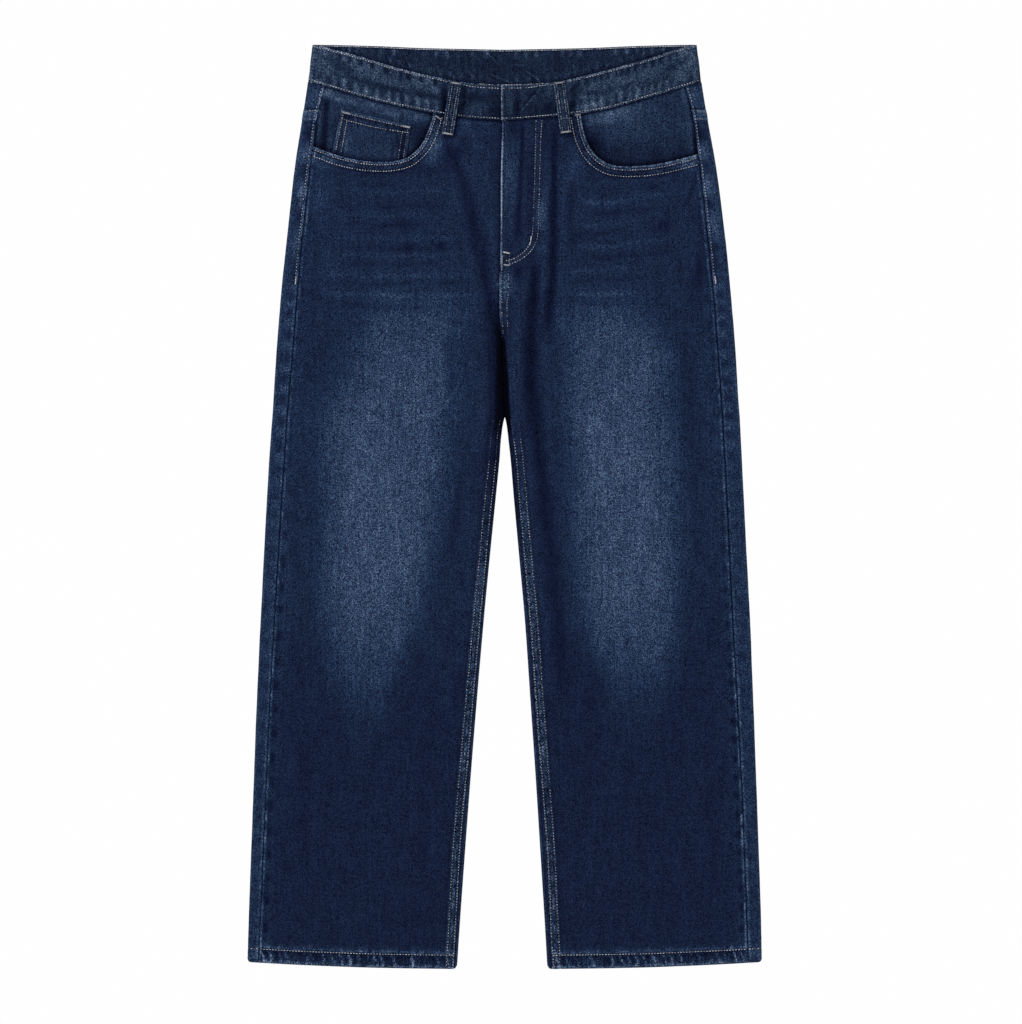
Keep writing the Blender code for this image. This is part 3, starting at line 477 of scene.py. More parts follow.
FADE_MIDDLE = {-1: curve(((240.0, -96.0), (202.0, -102.0), (180.0, -117.0), (142.0, -122.0), (106.0, -127.0),
                          (70.0, -132.0), (18.0, -133.0), (-37.0, -138.0), (-92.0, -146.0), (-147.0, -149.0), (-202.0, -155.0))),
               1: curve(((240.0, 112.0), (205.0, 117.0), (180.0, 123.0), (142.0, 126.0), (106.0, 127.0), (70.0, 129.0),
                         (18.0, 131.5), (-37.0, 134.0), (-92.0, 137.0), (-147.0, 140.5), (-175.0, 144.0), (-202.0, 147.0)))}
FADE_DOWN = curve(((290.0, 0.0), (256.0, 0.07), (230.0, 0.22), (204.0, 0.60), (180.0, 0.76), (142.0, 0.88), (106.0, 0.96),
                   (60.0, 1.0), (-50.0, 1.0), (-92.0, 0.98), (-120.0, 0.91), (-147.0, 0.80), (-175.0, 0.63),
                   (-202.0, 0.42), (-235.0, 0.17), (-275.0, 0.0)))
FADE_WIDE = {-1: curve(((240.0, 60.0), (202.0, 58.0), (180.0, 62.0), (142.0, 67.0), (106.0, 74.0), (70.0, 71.0), (18.0, 66.0),
                        (-37.0, 62.0), (-92.0, 57.0), (-147.0, 52.0), (-175.0, 42.0), (-202.0, 35.0), (-270.0, 26.0))),
             1: curve(((240.0, 46.0), (216.0, 50.0), (180.0, 58.0), (142.0, 61.5), (106.0, 62.5), (70.0, 60.0), (18.0, 59.5),
                       (-37.0, 59.0), (-92.0, 56.0), (-147.0, 50.0), (-175.0, 44.0), (-202.0, 36.0), (-270.0, 28.0)))}


def fade_and_shade(side, x, y):
    """Tone of the washed cloth before its seams, with its worn lines and patches of painted shade: 0.3 is plain hip
    denim.
    """
    c = FADE_MIDDLE[side](y)
    w = FADE_WIDE[side](y)
    wob = 9.0 * fractal(x / 40.0, y / 46.0, 21)
    d = np.abs(x - c + 0.4 * wob) / w
    body = 1.0 - smooth((d - 0.42) / 0.92)
    patch = 0.035 * fractal(x / 20.0, y / 52.0, 31)
    base = 0.305 - 0.042 * smooth((-60.0 - y) / 190.0)
    low_side = 0.030 * smooth(1 - np.abs(seam(side, y) - side * x) / 34.0) * smooth((230.0 - y) / 140.0)
    wob = wob + (2.0 if side < 0 else -10.0) * smooth((-70.0 - y) / 50.0)
    tone = base + (0.226 if side < 0 else 0.228) * body * FADE_DOWN(y + wob) + patch * (0.4 + body * FADE_DOWN(y)) + low_side
    middle = smooth(1 - np.abs(x) / 46.0) * smooth((y - 60.0) / 60.0)
    return tone + wear_and_shade(x, y) - 0.015 * middle


# ------------------------------------------------------------------ the fronts

def valley(side, a, y):
    """The dip where the two inner folds meet below the crotch, in millimetres."""
    wide = 4.6 + 3.4 * np.clip((CROTCH_Y - y) / 92.0, 0, 1)
    strength = smooth((CROTCH_Y + 6.0 - y) / 10.0) * smooth((y - 60.0) / 30.0)
    d = a - inner(side, y)
    return 2.3 * strength * (1 - smooth(d / wide)) , strength * (1 - smooth((d - 0.6) / wide))


def front_detail(side, x, y):
    """Height over high(y), and tone, of a front panel."""
    a = side * x
    z, shade = creases(x, y)
    z_bend, shade_bend = bends(x, y)
    z = z + z_bend
    z = z + soft_form(x, y) * smooth((y + 500) / 30)
    tone = fade_and_shade(side, x, y) + shade + shade_bend
    d_out = front_edge(side, y) - a
    d_in = a - front_end(side, y)
    d_hem = (y + 508.0) * (1.0 - HEM_RISE(a) / HEM_FADE)
    d_top = BAND_LOW(x) - GAP - y
    fray = 0.5 + 0.5 * fractal(x / 3.0, y / 3.0, 71, 2)
    blotch = 0.5 + 0.5 * fractal(x / 9.0, y / 12.0, 73, 2)

    # Outseam: a rolled edge beside the seam, and the pressed allowance showing through.
    below = smooth((LAP_END_Y + 8 - y) / 16.0)
    roll = hump(d_out, 1.7, 1.3)
    z = z + roll * (0.10 + 0.34 * below) * (0.7 + 0.3 * noise(0, y / 7.0, 81)) - 0.55 * hump(d_out, -0.1, 0.65)
    worn = 0.65 + 0.55 * noise(2.0, y / 8.0, 83) + 0.25 * noise(4.0, y / 2.6, 84)
    deep = smooth((-60.0 - y) / 160.0)
    tone = tone + (below * (0.20 + 0.20 * deep) + (1 - below) * 0.22) * worn \
        * hump(d_out, (1.7 if side < 0 else 2.2) - 0.5 * deep + 1.0 * (1 - below), 1.2)
    # Painted shade in the seam's groove, and a faint band of it beyond the roll; the light roll is wear.
    tone = tone - (0.16 - 0.07 * below * deep) * hump(d_out, -0.2, 1.0) - 0.03 * hump(d_out, 5.8, 2.2)
    edge = hump(d_out, 10.2, 1.1) * below * smooth(0.35 + 1.1 * noise(5.0, y / 30.0, 85))
    z = z + 0.14 * edge
    tone = tone + 0.05 * edge * blotch
    # The allowance shrinks at even steps: hollows along it, darkened by painted shade.
    beat = np.sin(2 * math.pi * (y + 4.0 * noise(y / 40.0, 1.0, 86)) / (27.0 if side < 0 else 21.0))
    gap = smooth((-beat - 0.15) / 0.6) * below * (0.45 + 0.55 * smooth((60.0 - y) / 200.0))
    z = z - 0.20 * gap * hump(d_out, 6.2, 3.2)
    tone = tone - 0.10 * gap * hump(d_out, 5.8, 3.0) + 0.035 * (1 - gap) * below * hump(d_out, 6.5, 3.5)

    # Inseam: felled, with a ridge between its two rows.
    leg = smooth((CROTCH_Y - 4 - y) / 10.0)
    flat = smooth((10.2 - d_in) / 1.2) * leg
    z = z + 0.42 * flat - leg * 0.22 * (hump(d_in, 1.2, 0.55) + hump(d_in, 8.6, 0.6))
    pull = noise(0, y / 3.6, 87) + 0.7 * noise(3, y / 8.0, 88)
    z = z + leg * 0.12 * hump(d_in, 5.0, 2.4) * pull
    strong = 0.35 + 0.65 * smooth((-40.0 - y) / 120.0)
    # The light felled edge is wear; the dark lines beside the rows and beyond the felled edge are painted shade.
    tone = tone + leg * strong * (0.15 * hump(d_in, 0.5, 0.9) * (0.5 + blotch) + 0.05 * flat * (fray - 0.35)
                                  + hump(d_in, 4.8, 3.0) * (0.035 + 0.06 * pull + 0.12 * noise(d_in / 1.3, y / 1.2, 89)) + 0.05 * hump(d_in, 8.4, 1.0)
                                  - 0.08 * hump(d_in, 2.5, 0.8) - 0.07 * hump(d_in, 7.0, 0.8))
    tone = tone - leg * 0.05 * hump(d_in, 11.6, 1.3)

    # Centre front: the lapped seam under the fly, and the fly itself.
    upper = smooth((y - CROTCH_Y) / 6.0)
    if side > 0:
        d_fly, _ = signed(FLY_OUTER, x, y)
        fly = smooth((-d_fly + 1.2) / 2.4) * smooth((y - 264.0) / 5.0)
        z = z + 0.42 * fly * upper
        z = z - 0.22 * hump(d_fly, 0.0, 0.6) * smooth((y - 262) / 4.0)
        d_fly2, _ = signed(FLY_INNER, x, y)
        z = z - 0.18 * hump(d_fly2, 0.0, 0.55) * smooth((y - 266) / 4.0)
        both = smooth((y - 264) / 6.0)
        # Painted shade along the fly's two rows.
        tone = tone - 0.045 * both * (hump(d_fly, 1.6, 1.3) + hump(d_fly2, -1.8, 1.6)) \
            + 0.03 * both * hump(0.5 * (d_fly + d_fly2), 0.0, 1.6)
        low_lap = smooth((268.0 - y) / 6.0) * upper
        z = z + low_lap * 0.45 * smooth((11.4 - d_in) / 1.2)
        z = z + upper * (0.70 * np.exp(-d_in / 5.0) - 0.25 * hump(d_in, 3.7, 0.6))
        shine = (0.62 + 0.16 * noise(0, y / 14.0, 91)) * smooth((y - 258.0) / 16.0) \
            + (0.36 + 0.12 * noise(0, y / 6.0, 92)) * smooth((262.0 - y) / 14.0) * smooth((y - 196.0) / 26.0)
        shine = shine * (1.0 - 0.50 * smooth((y - 398.0) / 12.0)) * (1.0 + 0.20 * hump(y, 352.0, 30.0))
        # The light line along the fly's edge, and painted shade in the groove inside it.
        tone = tone + upper * (shine * hump(d_in, 0.55, 1.05) - 0.08 * hump(d_in, 3.7, 1.0)
                               + 0.03 * hump(d_in, 5.4, 1.2))
    else:
        # Painted shadow on the left front under the right front's lap.
        z = z - upper * 0.75 * np.exp(-d_in / 4.0)
        tone = tone - upper * 0.17 * np.exp(-d_in / 2.4) - upper * 0.045 * np.exp(-d_in / 12.0)

    # Hem: turned up twice, roped between the groove of its stitching and its edge.
    hem = smooth((HEM_DEEP + 0.6 - d_hem) / 1.0)
    step = (a + side * (0.24 * d_hem + 0.035 * (d_hem - 7.0) ** 2) + 1.5 * noise(a / 9.0, d_hem / 9.0, 94)) / 9.6
    cell = np.floor(step)
    spot = step - cell - 0.5 - 0.24 * _hash(cell.astype(np.int64), cell.astype(np.int64) * 0 + 3, 95)
    size = 0.66 + 0.55 * _hash(cell.astype(np.int64), cell.astype(np.int64) * 0 + 5, 96)
    ridge = size * np.exp(-(spot * 9.6 / (1.05 + 0.4 * noise(a / 5.0, 3.0, 90))) ** 2)
    rope = ridge - 0.34 + 0.5 * noise(a / 4.2, d_hem / 5.0, 97)
    across = smooth((d_hem - 0.6) / 2.2) * smooth((HEM_DEEP - 0.8 - d_hem) / 2.0)
    z = z + hem * 0.42 - 0.40 * hump(d_hem, HEM_DEEP - 0.1, 0.7) + hem * 0.26 * rope * across
    tone = tone + hem * across * (0.42 * ridge + 0.13 * noise(a / 1.8, d_hem / 9.0, 98))
    # Painted shade between the rope ridges, at the folded edge and in the stitching's groove; the light ridges are
    # wear.
    tone = tone - hem * across * 0.10 * hump(d_hem, HEM_DEEP - 3.2, 2.6) * (1 - ridge) * blotch * 1.6
    tone = tone + 0.22 * hump(d_hem, 1.6, 2.0) * (0.5 + blotch) - 0.06 * hump(d_hem, -0.2, 0.5)
    crest = 0.55 + 0.9 * smooth(0.3 + noise(a / 3.6, 0.5, 99)) * smooth(0.6 + noise(a / 11.0, 2.5, 93))
    spur = smooth(0.1 + noise(a / 1.7 + 0.3 * d_hem, d_hem / 20.0, 92)) * smooth((HEM_DEEP + 9.0 - d_hem) / 7.0) * smooth((d_hem - HEM_DEEP - 0.8) / 0.8)
    tone = tone + 0.11 * spur
    tone = tone + 0.24 * crest * hump(d_hem, HEM_DEEP + 2.5, 1.5) + 0.05 * crest * hump(d_hem, HEM_DEEP + 6.0, 2.4)
    tone = tone + 0.05 * hump(d_hem, HEM_DEEP + 0.9, 0.7) - 0.09 * hump(d_hem, HEM_DEEP - 1.1, 0.6)
    z = z + 0.16 * crest * hump(d_hem, HEM_DEEP + 3.0, 1.8)

    # Waistband seam: the cloth runs under the band's edge, with a painted shadow below it.
    z = z - 0.25 * np.exp(-np.maximum(d_top, 0) / 1.5)
    tone = tone - 0.17 * np.exp(-(np.maximum(d_top, 0) / 1.9) ** 2)
    tone = tone + (0.07 if side < 0 else 0.0) * hump(d_top, 4.6, 1.8) * (0.3 + blotch)

    # Pocket edge: a rolled hem held by two rows; the dark lines by the rows and beyond the hem are painted shade.
    near = (y > 355.0) & (a > 62.0)
    if np.any(near):
        dp = np.full(np.shape(z), 99.0)
        run = np.zeros(np.shape(z))
        yy = np.broadcast_to(y, np.shape(z))
        xx = np.broadcast_to(x, np.shape(z))
        dp[near], run[near] = from_pocket(side, xx[near], yy[near])
        band = smooth((12.2 - dp) / 1.6)
        pucker = noise(run / 3.4, 0, 99) + 0.6 * noise(run / 7.0, 3, 100)
        z = z + band * (0.46 + 0.10 * pucker * hump(dp, 6.5, 2.6))
        r1, r2 = (3.3, 10.3) if side < 0 else (4.2, 11.3)
        z = z - 0.24 * (hump(dp, r1, 0.55) + hump(dp, r2, 0.6))
        z = z - 0.5 * hump(dp, -0.1, 0.6)
        rim = (0.16 + 0.13 * smooth((run - 150.0) / 25.0)) if side < 0 else (0.17 + 0.07 * smooth((run - 120.0) / 30.0))
        tone = tone + (1.5 * rim * (0.6 + 0.55 * blotch) + 0.05 * pucker) * hump(dp, 0.9, 1.2)
        tone = tone + 0.05 * hump(dp, 0.5 * (r1 + r2), 1.6) * (1 + 1.3 * pucker) - 0.08 * hump(dp, r2 + 1.9, 1.1)
        tone = tone - 0.11 * hump(dp, r1 + 1.7, 0.9) * (0.6 + 0.6 * blotch) - 0.09 * hump(dp, r2 - 1.8, 0.9)
        tone = tone - (0.05 if side < 0 else 0.075) * hump(dp, 0.5 * (r1 + r2), 3.6) - 0.07 * (hump(dp, r1 + 0.7, 0.7) + hump(dp, r2 + 0.8, 0.7))
    # Shade beside the belt loop's lower end.
    tx, ty, fx, fy = LOOPS["belt_loop_front_l" if side < 0 else "belt_loop_front_r"]
    if np.any(y > 396.0):
        off = x - (fx + (tx - fx) * (y - fy) / (ty - fy))
        long = smooth((y - fy + 4.0) / 3.0)
        tone = tone - long * (0.20 * hump(off, 8.0, 1.8) + 0.09 * hump(off, -8.0, 1.5))
        tone = tone - 0.16 * smooth((fy + 0.5 - y) / 1.0) * hump(y, fy - 2.2, 1.7) * smooth((8.0 - np.abs(off)) / 2.0)
    dip, _ = valley(side, a, y)
    z = z - dip
    lost = hollow(x, y)
    # The left leg turns under along its inner side, in shade.
    if side < 0:
        off = a - inner(side, y)
        shade = smooth((214.0 - y) / 30.0) * smooth((y + 90.0) / 110.0)
        tone = tone - 0.15 * shade * np.exp(-(off / 12.0) ** 2) * (1.0 + 0.4 * hump(y, 70.0, 40.0))
    else:
        # Painted shade along the right leg's inner side.
        off = a - inner(side, y)
        tone = tone - 0.05 * smooth((150.0 - y) / 30.0) * smooth((y - 20.0) / 60.0) * np.exp(-(off / 6.0) ** 2)
    # Painted black shadow of the hollow under the crotch.
    tone = tone * (1.0 - lost) - 0.05 * lost
    return z, tone


def front_point(side, x, y):
    z, _ = front_detail(side, np.asarray(x, float), np.asarray(y, float))
    return np.stack([x, y, high(np.asarray(y, float)) + z], -1)


# ------------------------------------------------------------------ the backs and yokes

# Worn and shaded spots on the strip behind the seam: y, distance out, half sizes, tone.
STRIP_MARKS = {
    -1: ((346.0, 6.0, 9.0, 4.5, 0.22), (292.0, 6.0, 10.0, 4.0, 0.13), (388.0, 7.0, 9.0, 6.0, 0.18), (409.0, 5.0, 8.0, 7.0, -0.17),
         (368.0, 6.0, 7.0, 5.0, -0.12), (318.0, 6.0, 9.0, 4.0, -0.12), (262.0, 6.0, 8.0, 4.0, -0.07), (452.0, 6.0, 9.0, 7.0, 0.12),
         (276.0, 4.0, 5.0, 3.0, 0.08), (330.0, 4.0, 5.0, 3.0, 0.06)),
    1: ((390.0, 5.0, 9.0, 6.0, 0.20), (352.0, 6.0, 12.0, 5.5, 0.22), (310.0, 7.0, 16.0, 5.5, 0.19), (409.0, 5.0, 8.0, 7.0, -0.18),
        (332.0, 5.0, 5.0, 4.0, -0.20), (284.0, 6.0, 7.0, 4.0, -0.12), (266.0, 5.0, 6.0, 4.0, -0.10), (452.0, 6.0, 9.0, 7.0, 0.08),
        (374.0, 6.0, 6.0, 4.0, -0.08)),
}


def strip_detail(side, a, y, yoke):
    """Height and tone, outwards, of the back or yoke near the outseam and on the top
    side of the outer fold."""
    d = a - seam(side, y) - 0.5 * GAP
    x = side * a
    blotch = 0.5 + 0.5 * fractal(x / 8.0, y / 10.0, 173, 2)
    lap = smooth((y - LAP_END_Y + 8) / 16.0)
    row = 2.9 if side < 0 else 2.4
    z = lap * (0.45 * smooth((10.0 - d) / 1.6) - 0.24 * hump(d, row, 0.55))
    z = z + (1 - lap) * (0.30 * hump(d, 1.9, 1.4)) - 0.5 * hump(d, -0.1, 0.6)
    tone = 0.350 + 0.03 * blotch - 0.012 * smooth((-120.0 - y) / 200.0)
    ragged = 0.65 + 0.5 * noise(3.0, y / 7.0, 174) + 0.25 * noise(1.0, y / 2.4, 175)
    # The light worn edge of the lap, and painted shade in the seam's groove.
    tone = tone + lap * (0.32 if side < 0 else 0.21) * hump(d, 0.9, 1.2) * ragged - (0.16 - 0.08 * smooth((-60.0 - y) / 160.0)) * hump(d, -0.2, 0.8)
    tone = tone + (1 - lap) * (0.15 + (0.07 if side < 0 else 0.10) * smooth((-60.0 - y) / 160.0)) * hump(d, 1.6, 1.25) * ragged
    # The pressed allowances underneath press through at even steps.
    beat = np.sin(2 * math.pi * (y + 5.0 * noise(y / 40.0, 1.0, 176)) / (24.0 if side < 0 else 20.0))
    step = (1 - lap) * (0.35 + 0.65 * smooth((y - 20.0) / 60.0)) * smooth((20.0 - d) / 6.0)
    # The dark line beside the topstitching is painted shade.
    tone = tone + 0.10 * beat * step * hump(d, 6.5, 4.5) - 0.07 * lap * hump(d, 4.3 if side < 0 else 3.6, 0.8)
    z = z + 0.14 * beat * step * hump(d, 6.5, 4.5)
    for my, md, hy, hd, amount in STRIP_MARKS[side]:
        tone = tone + amount * np.exp(-((y - my) / hy) ** 2 - ((d - md) / hd) ** 2)
    if not yoke:
        # The yoke seam: the back is lapped over it with two rows, and painted shade lies beyond its lapped edge.
        e = YOKE_LINE(np.minimum(a, 217.0)) - y
        z = z + 0.40 * smooth((12.0 - e) / 1.4) - 0.22 * (hump(e, 2.4, 0.5) + hump(e, 10.4, 0.5))
        tone = tone + 0.20 * hump(e, 2.2, 1.6) * (0.5 + blotch) + 0.13 * hump(e, 6.4, 2.6) * (0.4 + blotch)
        tone = tone + 0.10 * hump(e, 10.6, 1.5) * (0.5 + blotch) - 0.08 * hump(e, 15.0, 2.0)
        d_hem = (y + 508.0) * (1.0 - HEM_RISE(a) / HEM_FADE)
        # Painted shade in the hem's stitching groove; the light bands are wear.
        tone = tone + 0.10 * hump(d_hem, 6.5, 7.0) * (0.4 + blotch) - 0.07 * hump(d_hem, HEM_DEEP - 0.1, 0.8)
        tone = tone + 0.10 * hump(d_hem, HEM_DEEP + 2.4, 1.6) * blotch
        z = z - 0.35 * hump(d_hem, HEM_DEEP - 0.1, 0.7)
    else:
        e = band_low(side, np.asarray(a), 0.0) - y
        # Painted shadow under the waistband's edge, and painted shade in the yoke seam's groove.
        tone = tone - 0.13 * hump(e, 0.4, 1.8)
        g = y - YOKE_LINE(np.minimum(a, 217.0))
        z = z - 0.3 * hump(g, 0.0, 0.9)
        tone = tone - 0.08 * hump(g, 0.4, 1.0) + 0.07 * hump(g, 5.0, 3.0) * blotch
    return z, tone


def under_detail(side, a, y, yoke):
    """The same for the underside, which lies on the surface: only its hollows are cut."""
    x = side * a
    blotch = 0.5 + 0.5 * fractal(x / 8.0, y / 10.0, 273, 2)
    z = np.zeros(np.broadcast(a, y).shape)
    base = 0.290 - 0.06 * smooth((-60.0 - y) / 190.0)
    tone = base + 0.16 * np.exp(-((a - 125.0) / 62.0) ** 2 - ((y - 95.0) / 150.0) ** 2)
    tone = tone + 0.10 * np.exp(-((a - 120.0) / 80.0) ** 2 - ((y - 320.0) / 90.0) ** 2) + 0.05 * (blotch - 0.5)
    # Shallow creases, with painted shade in their troughs.
    for k, (y0, slope) in enumerate(((176, 0.30), (158, 0.26), (139, 0.22), (118, 0.18))):
        t = smooth((a - 8.0) / 20.0) * smooth((150.0 - a) / 70.0)
        off = y - y0 + slope * (a - 30.0) + 4 * noise(a / 24.0, k, 301)
        z = z - 0.55 * t * np.exp(-(off / 6.0) ** 2)
        tone = tone - 0.05 * t * np.exp(-(off / 4.0) ** 2) + 0.03 * t * hump(off, 8.0, 4.0)
    d_hem = (y + 508.0) * (1.0 - HEM_RISE(a) / HEM_FADE)
    hem = smooth((HEM_DEEP + 0.4 - d_hem) / 1.0)
    rope = np.sin((a + 0.9 * d_hem + 3.0 * noise(a / 11.0, 0, 195)) / 2.15 + 2.2 * noise(a / 19.0, 7, 197))
    z = z - 0.40 * hump(d_hem, HEM_DEEP - 0.7, 0.7) + hem * 0.2 * np.minimum(rope, 0.3) * hump(d_hem, 9.0, 5.0) - hem * 0.06
    z = z - 0.25 * smooth((d_hem - HEM_DEEP) / 2.0) * smooth((60.0 - d_hem) / 30.0)
    tone = tone + hem * (0.03 + 0.06 * rope) + 0.10 * hump(d_hem, 1.2, 1.3)
    # Painted shade in the grooves of the yoke and seat seams.
    if not yoke:
        e = YOKE_LINE(np.minimum(a, 217.0)) - y
        z = z - 0.22 * (hump(e, 1.6, 0.5) + hump(e, 10.6, 0.5)) - 0.25 * smooth((e - 12.0) / 1.4)
        tone = tone + 0.12 * hump(e, 0.7, 0.8) * (0.4 + blotch) - 0.05 * hump(e, 12.6, 1.2)
    else:
        g = y - YOKE_LINE(np.minimum(a, 217.0))
        z = z - 0.35 * hump(g, 0.0, 0.9) - 0.25
        tone = tone - 0.10 * hump(g, 0.0, 0.9)
    seat = a - inner(side, y)
    up = smooth((y - SEAT_FLAT_Y) / 8.0)
    if side < 0:
        z = z - up * 0.22 * (hump(seat, 1.6, 0.5) + hump(seat, 8.0, 0.5)) - 0.2 * up * smooth((seat - 9.4) / 1.2)
        tone = tone + up * 0.12 * hump(seat, 0.6, 0.7)
    else:
        z = z - up * (0.3 + 0.2 * np.exp(-seat / 2.0))
        tone = tone - up * 0.10 * hump(seat, 0.0, 1.0)
    return z, tone


PUFF = 0.65  # how far the outer folds bulge past the flattened outline
N_STRIP, N_FOLD, N_FLAT = 20, 16, 72
N_LOW, N_WALL, N_TOP, N_FLANGE = 8, 3, 8, 6
N_INNER = N_LOW + N_WALL + N_TOP + N_FLANGE


def inner_profile(side, y):
    """(n, N_INNER + 1, 2): distance and height, from the flat underside up the inner fold."""
    y = np.asarray(y, float)[:, None]
    a, z0, z1 = inner(side, y), low(y), high(y)
    end = np.concatenate([a + fold_in(side, y) - 0.5 * GAP, z1], 1)[:, None]
    # The fold bulges a little past the outline, and the legs touch above the space between them.
    apart = OUTLINE["apart"](y)
    a = a - (0.32 + 0.38 * smooth((apart - 0.4) / 3.0)) * smooth((CROTCH_Y + 34.0 - y) / 24.0)
    top = fold_radius(side, y)
    t = 0.5 * math.pi * np.arange(N_LOW + 1)[None] / N_LOW
    lower = np.stack(np.broadcast_arrays(a + FOLD_IN - FOLD_IN * np.sin(t), z0 + FOLD_IN - FOLD_IN * np.cos(t)), -1)
    t = 0.5 * math.pi * np.arange(N_TOP + 1)[None] / N_TOP
    upper = np.stack(np.broadcast_arrays(a + top - top * np.cos(t), z1 - top + top * np.sin(t)), -1)
    w = (np.arange(1, N_WALL) / N_WALL)[None, :, None]
    wall = lower[:, -1:] * (1 - w) + upper[:, :1] * w
    f = (np.arange(1, N_FLANGE + 1) / N_FLANGE)[None, :, None]
    flange = upper[:, -1:] * (1 - f) + end * f
    natural = np.concatenate([lower, wall, upper, flange], 1)

    done = (y - CROTCH_Y) / (SEAT_FLAT_Y - CROTCH_Y)
    turn = 0.5 * math.pi * (1.0 - smooth((done - 0.5) / 0.5) * 0.97)
    rise = (z1 - CLOTH - 2 * GAP - z0 - FOLD_IN) * np.clip(1.0 - done / 0.5, 0, 1)
    bend = FOLD_IN * turn
    d = (bend + rise) * np.arange(N_INNER + 1)[None] / N_INNER
    t = np.minimum(d, bend) / FOLD_IN
    short = np.stack(np.broadcast_arrays(a + FOLD_IN * (np.sin(turn) - np.sin(t)),
                                         z0 + FOLD_IN * (1 - np.cos(t)) + np.maximum(0, d - bend)), -1)
    flat = np.stack(np.broadcast_arrays(a + FOLD_IN * (1 - np.arange(N_INNER + 1)[None] / N_INNER), z0 + 0 * a), -1)
    yy = y[:, :, None]
    out = np.where(yy < CROTCH_Y, natural, np.where(yy < SEAT_FLAT_Y, short, flat))
    return out


def back_grid(side, rows):
    """rows: (ny, nx) heights in y for every column, or (ny,). Gives a, z of the bare
    form for each point and its kind: 0 strip, 1 outer fold, 2 underside, 3 inner fold."""
    rows = np.asarray(rows, float)
    nx = N_STRIP + N_FOLD + N_FLAT + N_INNER + 1
    if rows.ndim == 1:
        rows = np.repeat(rows[:, None], nx, 1)
    out_a, out_z = np.zeros(rows.shape), np.zeros(rows.shape)
    z0, z1 = low(rows), high(rows)
    r = 0.5 * (z1 - z0)
    edge = outer(side, rows) - r
    start = seam(side, rows) + 0.5 * GAP
    i = 0
    for k in range(N_STRIP):
        t = (k / N_STRIP) ** 1.25
        out_a[:, i], out_z[:, i] = start[:, i] + (edge[:, i] - start[:, i]) * t, z1[:, i]
        i += 1
    for k in range(N_FOLD + 1):
        t = math.pi * k / N_FOLD
        out_a[:, i] = edge[:, i] + (r[:, i] + PUFF) * math.sin(t)
        out_z[:, i] = z0[:, i] + r[:, i] + r[:, i] * math.cos(t)
        i += 1
    first = i
    for k in range(1, N_FLAT):
        t = k / N_FLAT
        end_a = inner(side, rows[:, i]) + np.where(rows[:, i] < SEAT_FLAT_Y, FOLD_IN, FOLD_IN)
        out_a[:, i] = edge[:, i] + (end_a - edge[:, i]) * t
        out_z[:, i] = z0[:, i]
        i += 1
    for k in range(N_INNER + 1):
        prof = inner_profile(side, rows[:, i])
        out_a[:, i], out_z[:, i] = prof[:, k, 0], prof[:, k, 1]
        i += 1
    kind = np.concatenate([np.zeros(N_STRIP), np.ones(N_FOLD + 1), np.full(N_FLAT - 1, 2.0),
                           np.full(N_INNER + 1, 3.0)])
    return rows, out_a, out_z, kind


# ------------------------------------------------------------------ meshes

def normals(P, sign):
    n = np.cross(np.gradient(P, axis=1), np.gradient(P, axis=0))
    n /= np.maximum(np.linalg.norm(n, axis=2), 1e-12)[..., None]
    return n * sign


PIECES = []


def new_object(name, verts, faces_by_size, tone, cut, mat, slot=None, replaces=(), smooth_faces=True):
    """faces_by_size: list of (n, k) index arrays."""
    mesh = bpy.data.meshes.new(name)
    v = (np.asarray(verts, float) - CENTRE) * MM
    mesh.vertices.add(len(v))
    mesh.vertices.foreach_set("co", v.astype(np.float32).ravel())
    loops = np.concatenate([f.ravel() for f in faces_by_size]).astype(np.int32)
    sizes = np.concatenate([np.full(len(f), f.shape[1], np.int32) for f in faces_by_size])
    starts = np.concatenate([[0], np.cumsum(sizes)[:-1]]).astype(np.int32)
    mesh.loops.add(len(loops))
    mesh.loops.foreach_set("vertex_index", loops)
    mesh.polygons.add(len(sizes))
    mesh.polygons.foreach_set("loop_start", starts)
    mesh.polygons.foreach_set("loop_total", sizes)
    mesh.update(calc_edges=True)
    if smooth_faces:
        mesh.polygons.foreach_set("use_smooth", np.ones(len(sizes), bool))
    if tone is not None:
        at = mesh.attributes.new("tone", "FLOAT", "POINT")
        at.data.foreach_set("value", np.asarray(tone, np.float32).ravel())
    if cut is not None:
        c = np.zeros((len(v), 3), np.float32)
        c[:, :2] = np.asarray(cut).reshape(-1, 2) * MM
        at = mesh.attributes.new("cut", "FLOAT_VECTOR", "POINT")
        at.data.foreach_set("vector", c.ravel())
    obj = bpy.data.objects.new(name, mesh)
    bpy.context.scene.collection.objects.link(obj)
    obj.data.materials.append(mat)
    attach(obj, "root")
    if replaces:
        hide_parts(*replaces)
    PIECES.append(obj)
    return obj


